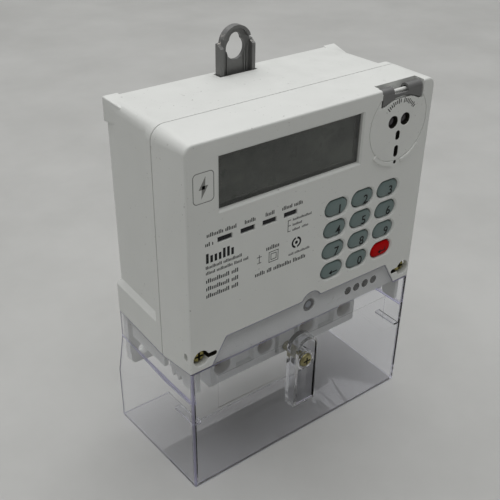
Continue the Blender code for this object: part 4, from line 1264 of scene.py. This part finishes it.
def is_edge(c, face, rear):
    """The sawn-looking ends of the clear walls, which gather light and look violet; that glow is
    painted light, a half-opaque violet finish.
    """
    x, depth, z = c
    n = face.normal
    if depth < 2.0 and z > 60.0 and abs(n.y) < 0.7:
        return True
    if depth > rear - 0.4 and n.y > 0.6:
        return True
    if abs(x) > 61.0 and n.z > 0.6 and z > 55:
        return True
    if abs(x) > 60 and 48.6 < z < 50.5:
        if abs(x) < HALF - 2.0 or face.calc_area() < 60 * MM * MM:
            return True
    return abs(x) > HALF - 1.3 and depth < 1.3


def is_pale_edge(c, face, _rear):
    """Edges that pipe light out, given a pale painted highlight: the walls' foot, the ribs' ends
    and the pocket's rims.
    """
    x, depth, z = c
    n = face.normal
    if z < 2.2 and (depth < 2.2 or abs(x) > HALF - 2.4):
        return abs(n.z) < 0.98 or depth < 2.2
    if HALF - 4.6 < abs(x) < HALF - 2.0 and 37.2 < z < 38.7:
        return abs(n.z) < 0.9
    if x > HALF - 2.4 and depth < 2.4:
        return True
    in_pocket = abs(x) < 6.9 and 16.8 < z < 57.2 and depth < 8.2
    if in_pocket and math.hypot(x, z - COVER_SCREW_Z) > 5.1:
        return 0.15 < abs(n.y) < 0.97 or 0.15 < abs(n.z) < 0.97 and z < 19.6
    return False


# ---------------------------------------------------------------- carried-over parts

def carried_parts():
    """Finishes for the CAD pieces inside the case, which stay as they are."""
    finishes = (
        (SEAL, "case_seal"),
        (BLACK, "display_frame cover_switch latching_relay buzzer aux_terminals"),
        (GUIDE, "display_backlight"), (KEY_GREY, "keypad_mat"), (BOARD, "main_board"),
        (STEEL, "port_magnet_plate clock_battery"), (COPPER, "current_shunt"),
        (DARK, "supply_capacitor"),
        (BRASS, "terminal_clamp_1 terminal_clamp_2 terminal_clamp_3 terminal_clamp_4"))
    for paint, names in finishes:
        for name in names.split():
            dress(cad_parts[name], paint)


# ---------------------------------------------------------------- room

def lamp(name, place, size, watts):
    """A round soft light that looks at the middle of the meter."""
    bpy.ops.object.light_add(type="AREA", location=place)
    light = bpy.context.active_object
    light.name = name
    light.data.shape = "DISK"
    light.data.size = size
    light.data.energy = watts
    middle = Vector((0.0, 0.0, 0.1))
    light.rotation_euler = (Vector(place) - middle).to_track_quat("Z", "Y").to_euler()


def room():
    """A plain pale floor, soft light and the camera."""
    bpy.ops.mesh.primitive_plane_add(size=30.0, location=(0, 0, 0))
    mat, tree, shader = finish("pale_floor")
    pale = ((0.35, (0.49, 0.49, 0.475)), (0.65, (0.55, 0.55, 0.535)))
    feed(tree, shader, {"Base Color": tones(tree, pale, 9.0, 5.0, 0.6), "Roughness": 0.6})
    made("floor", mat)

    lamp("ceiling_light", (0.15, 0.25, 1.8), 3.2, 39.0)
    lamp("side_light", (-1.4, -0.3, 0.9), 1.4, 1.0)
    world = bpy.data.worlds.new("studio")
    bpy.context.scene.world = world
    world.use_nodes = True
    feed(world.node_tree, world.node_tree.nodes["Background"],
         {"Color": (0.97, 0.98, 0.96, 1.0), "Strength": 0.155})

    bpy.ops.object.camera_add(location=(-0.1956, -0.2367, 0.2729),
                              rotation=[math.radians(a) for a in (58.24, -0.34, -36.92)])
    camera = bpy.context.active_object
    camera.data.sensor_width = 36.0
    camera.data.lens = 55.68
    camera.data.shift_x, camera.data.shift_y = 0.0199, 0.0211
    bpy.context.scene.camera = camera
    bpy.context.scene.view_settings.view_transform = "Standard"


front_cover()
rear_case()
display()
status_lights()
keys()
face_print()
port_print()
port()
port_flap()
hanger()
terminal_block()
screws()
plunger()
clear_cover()
carried_parts()
room()
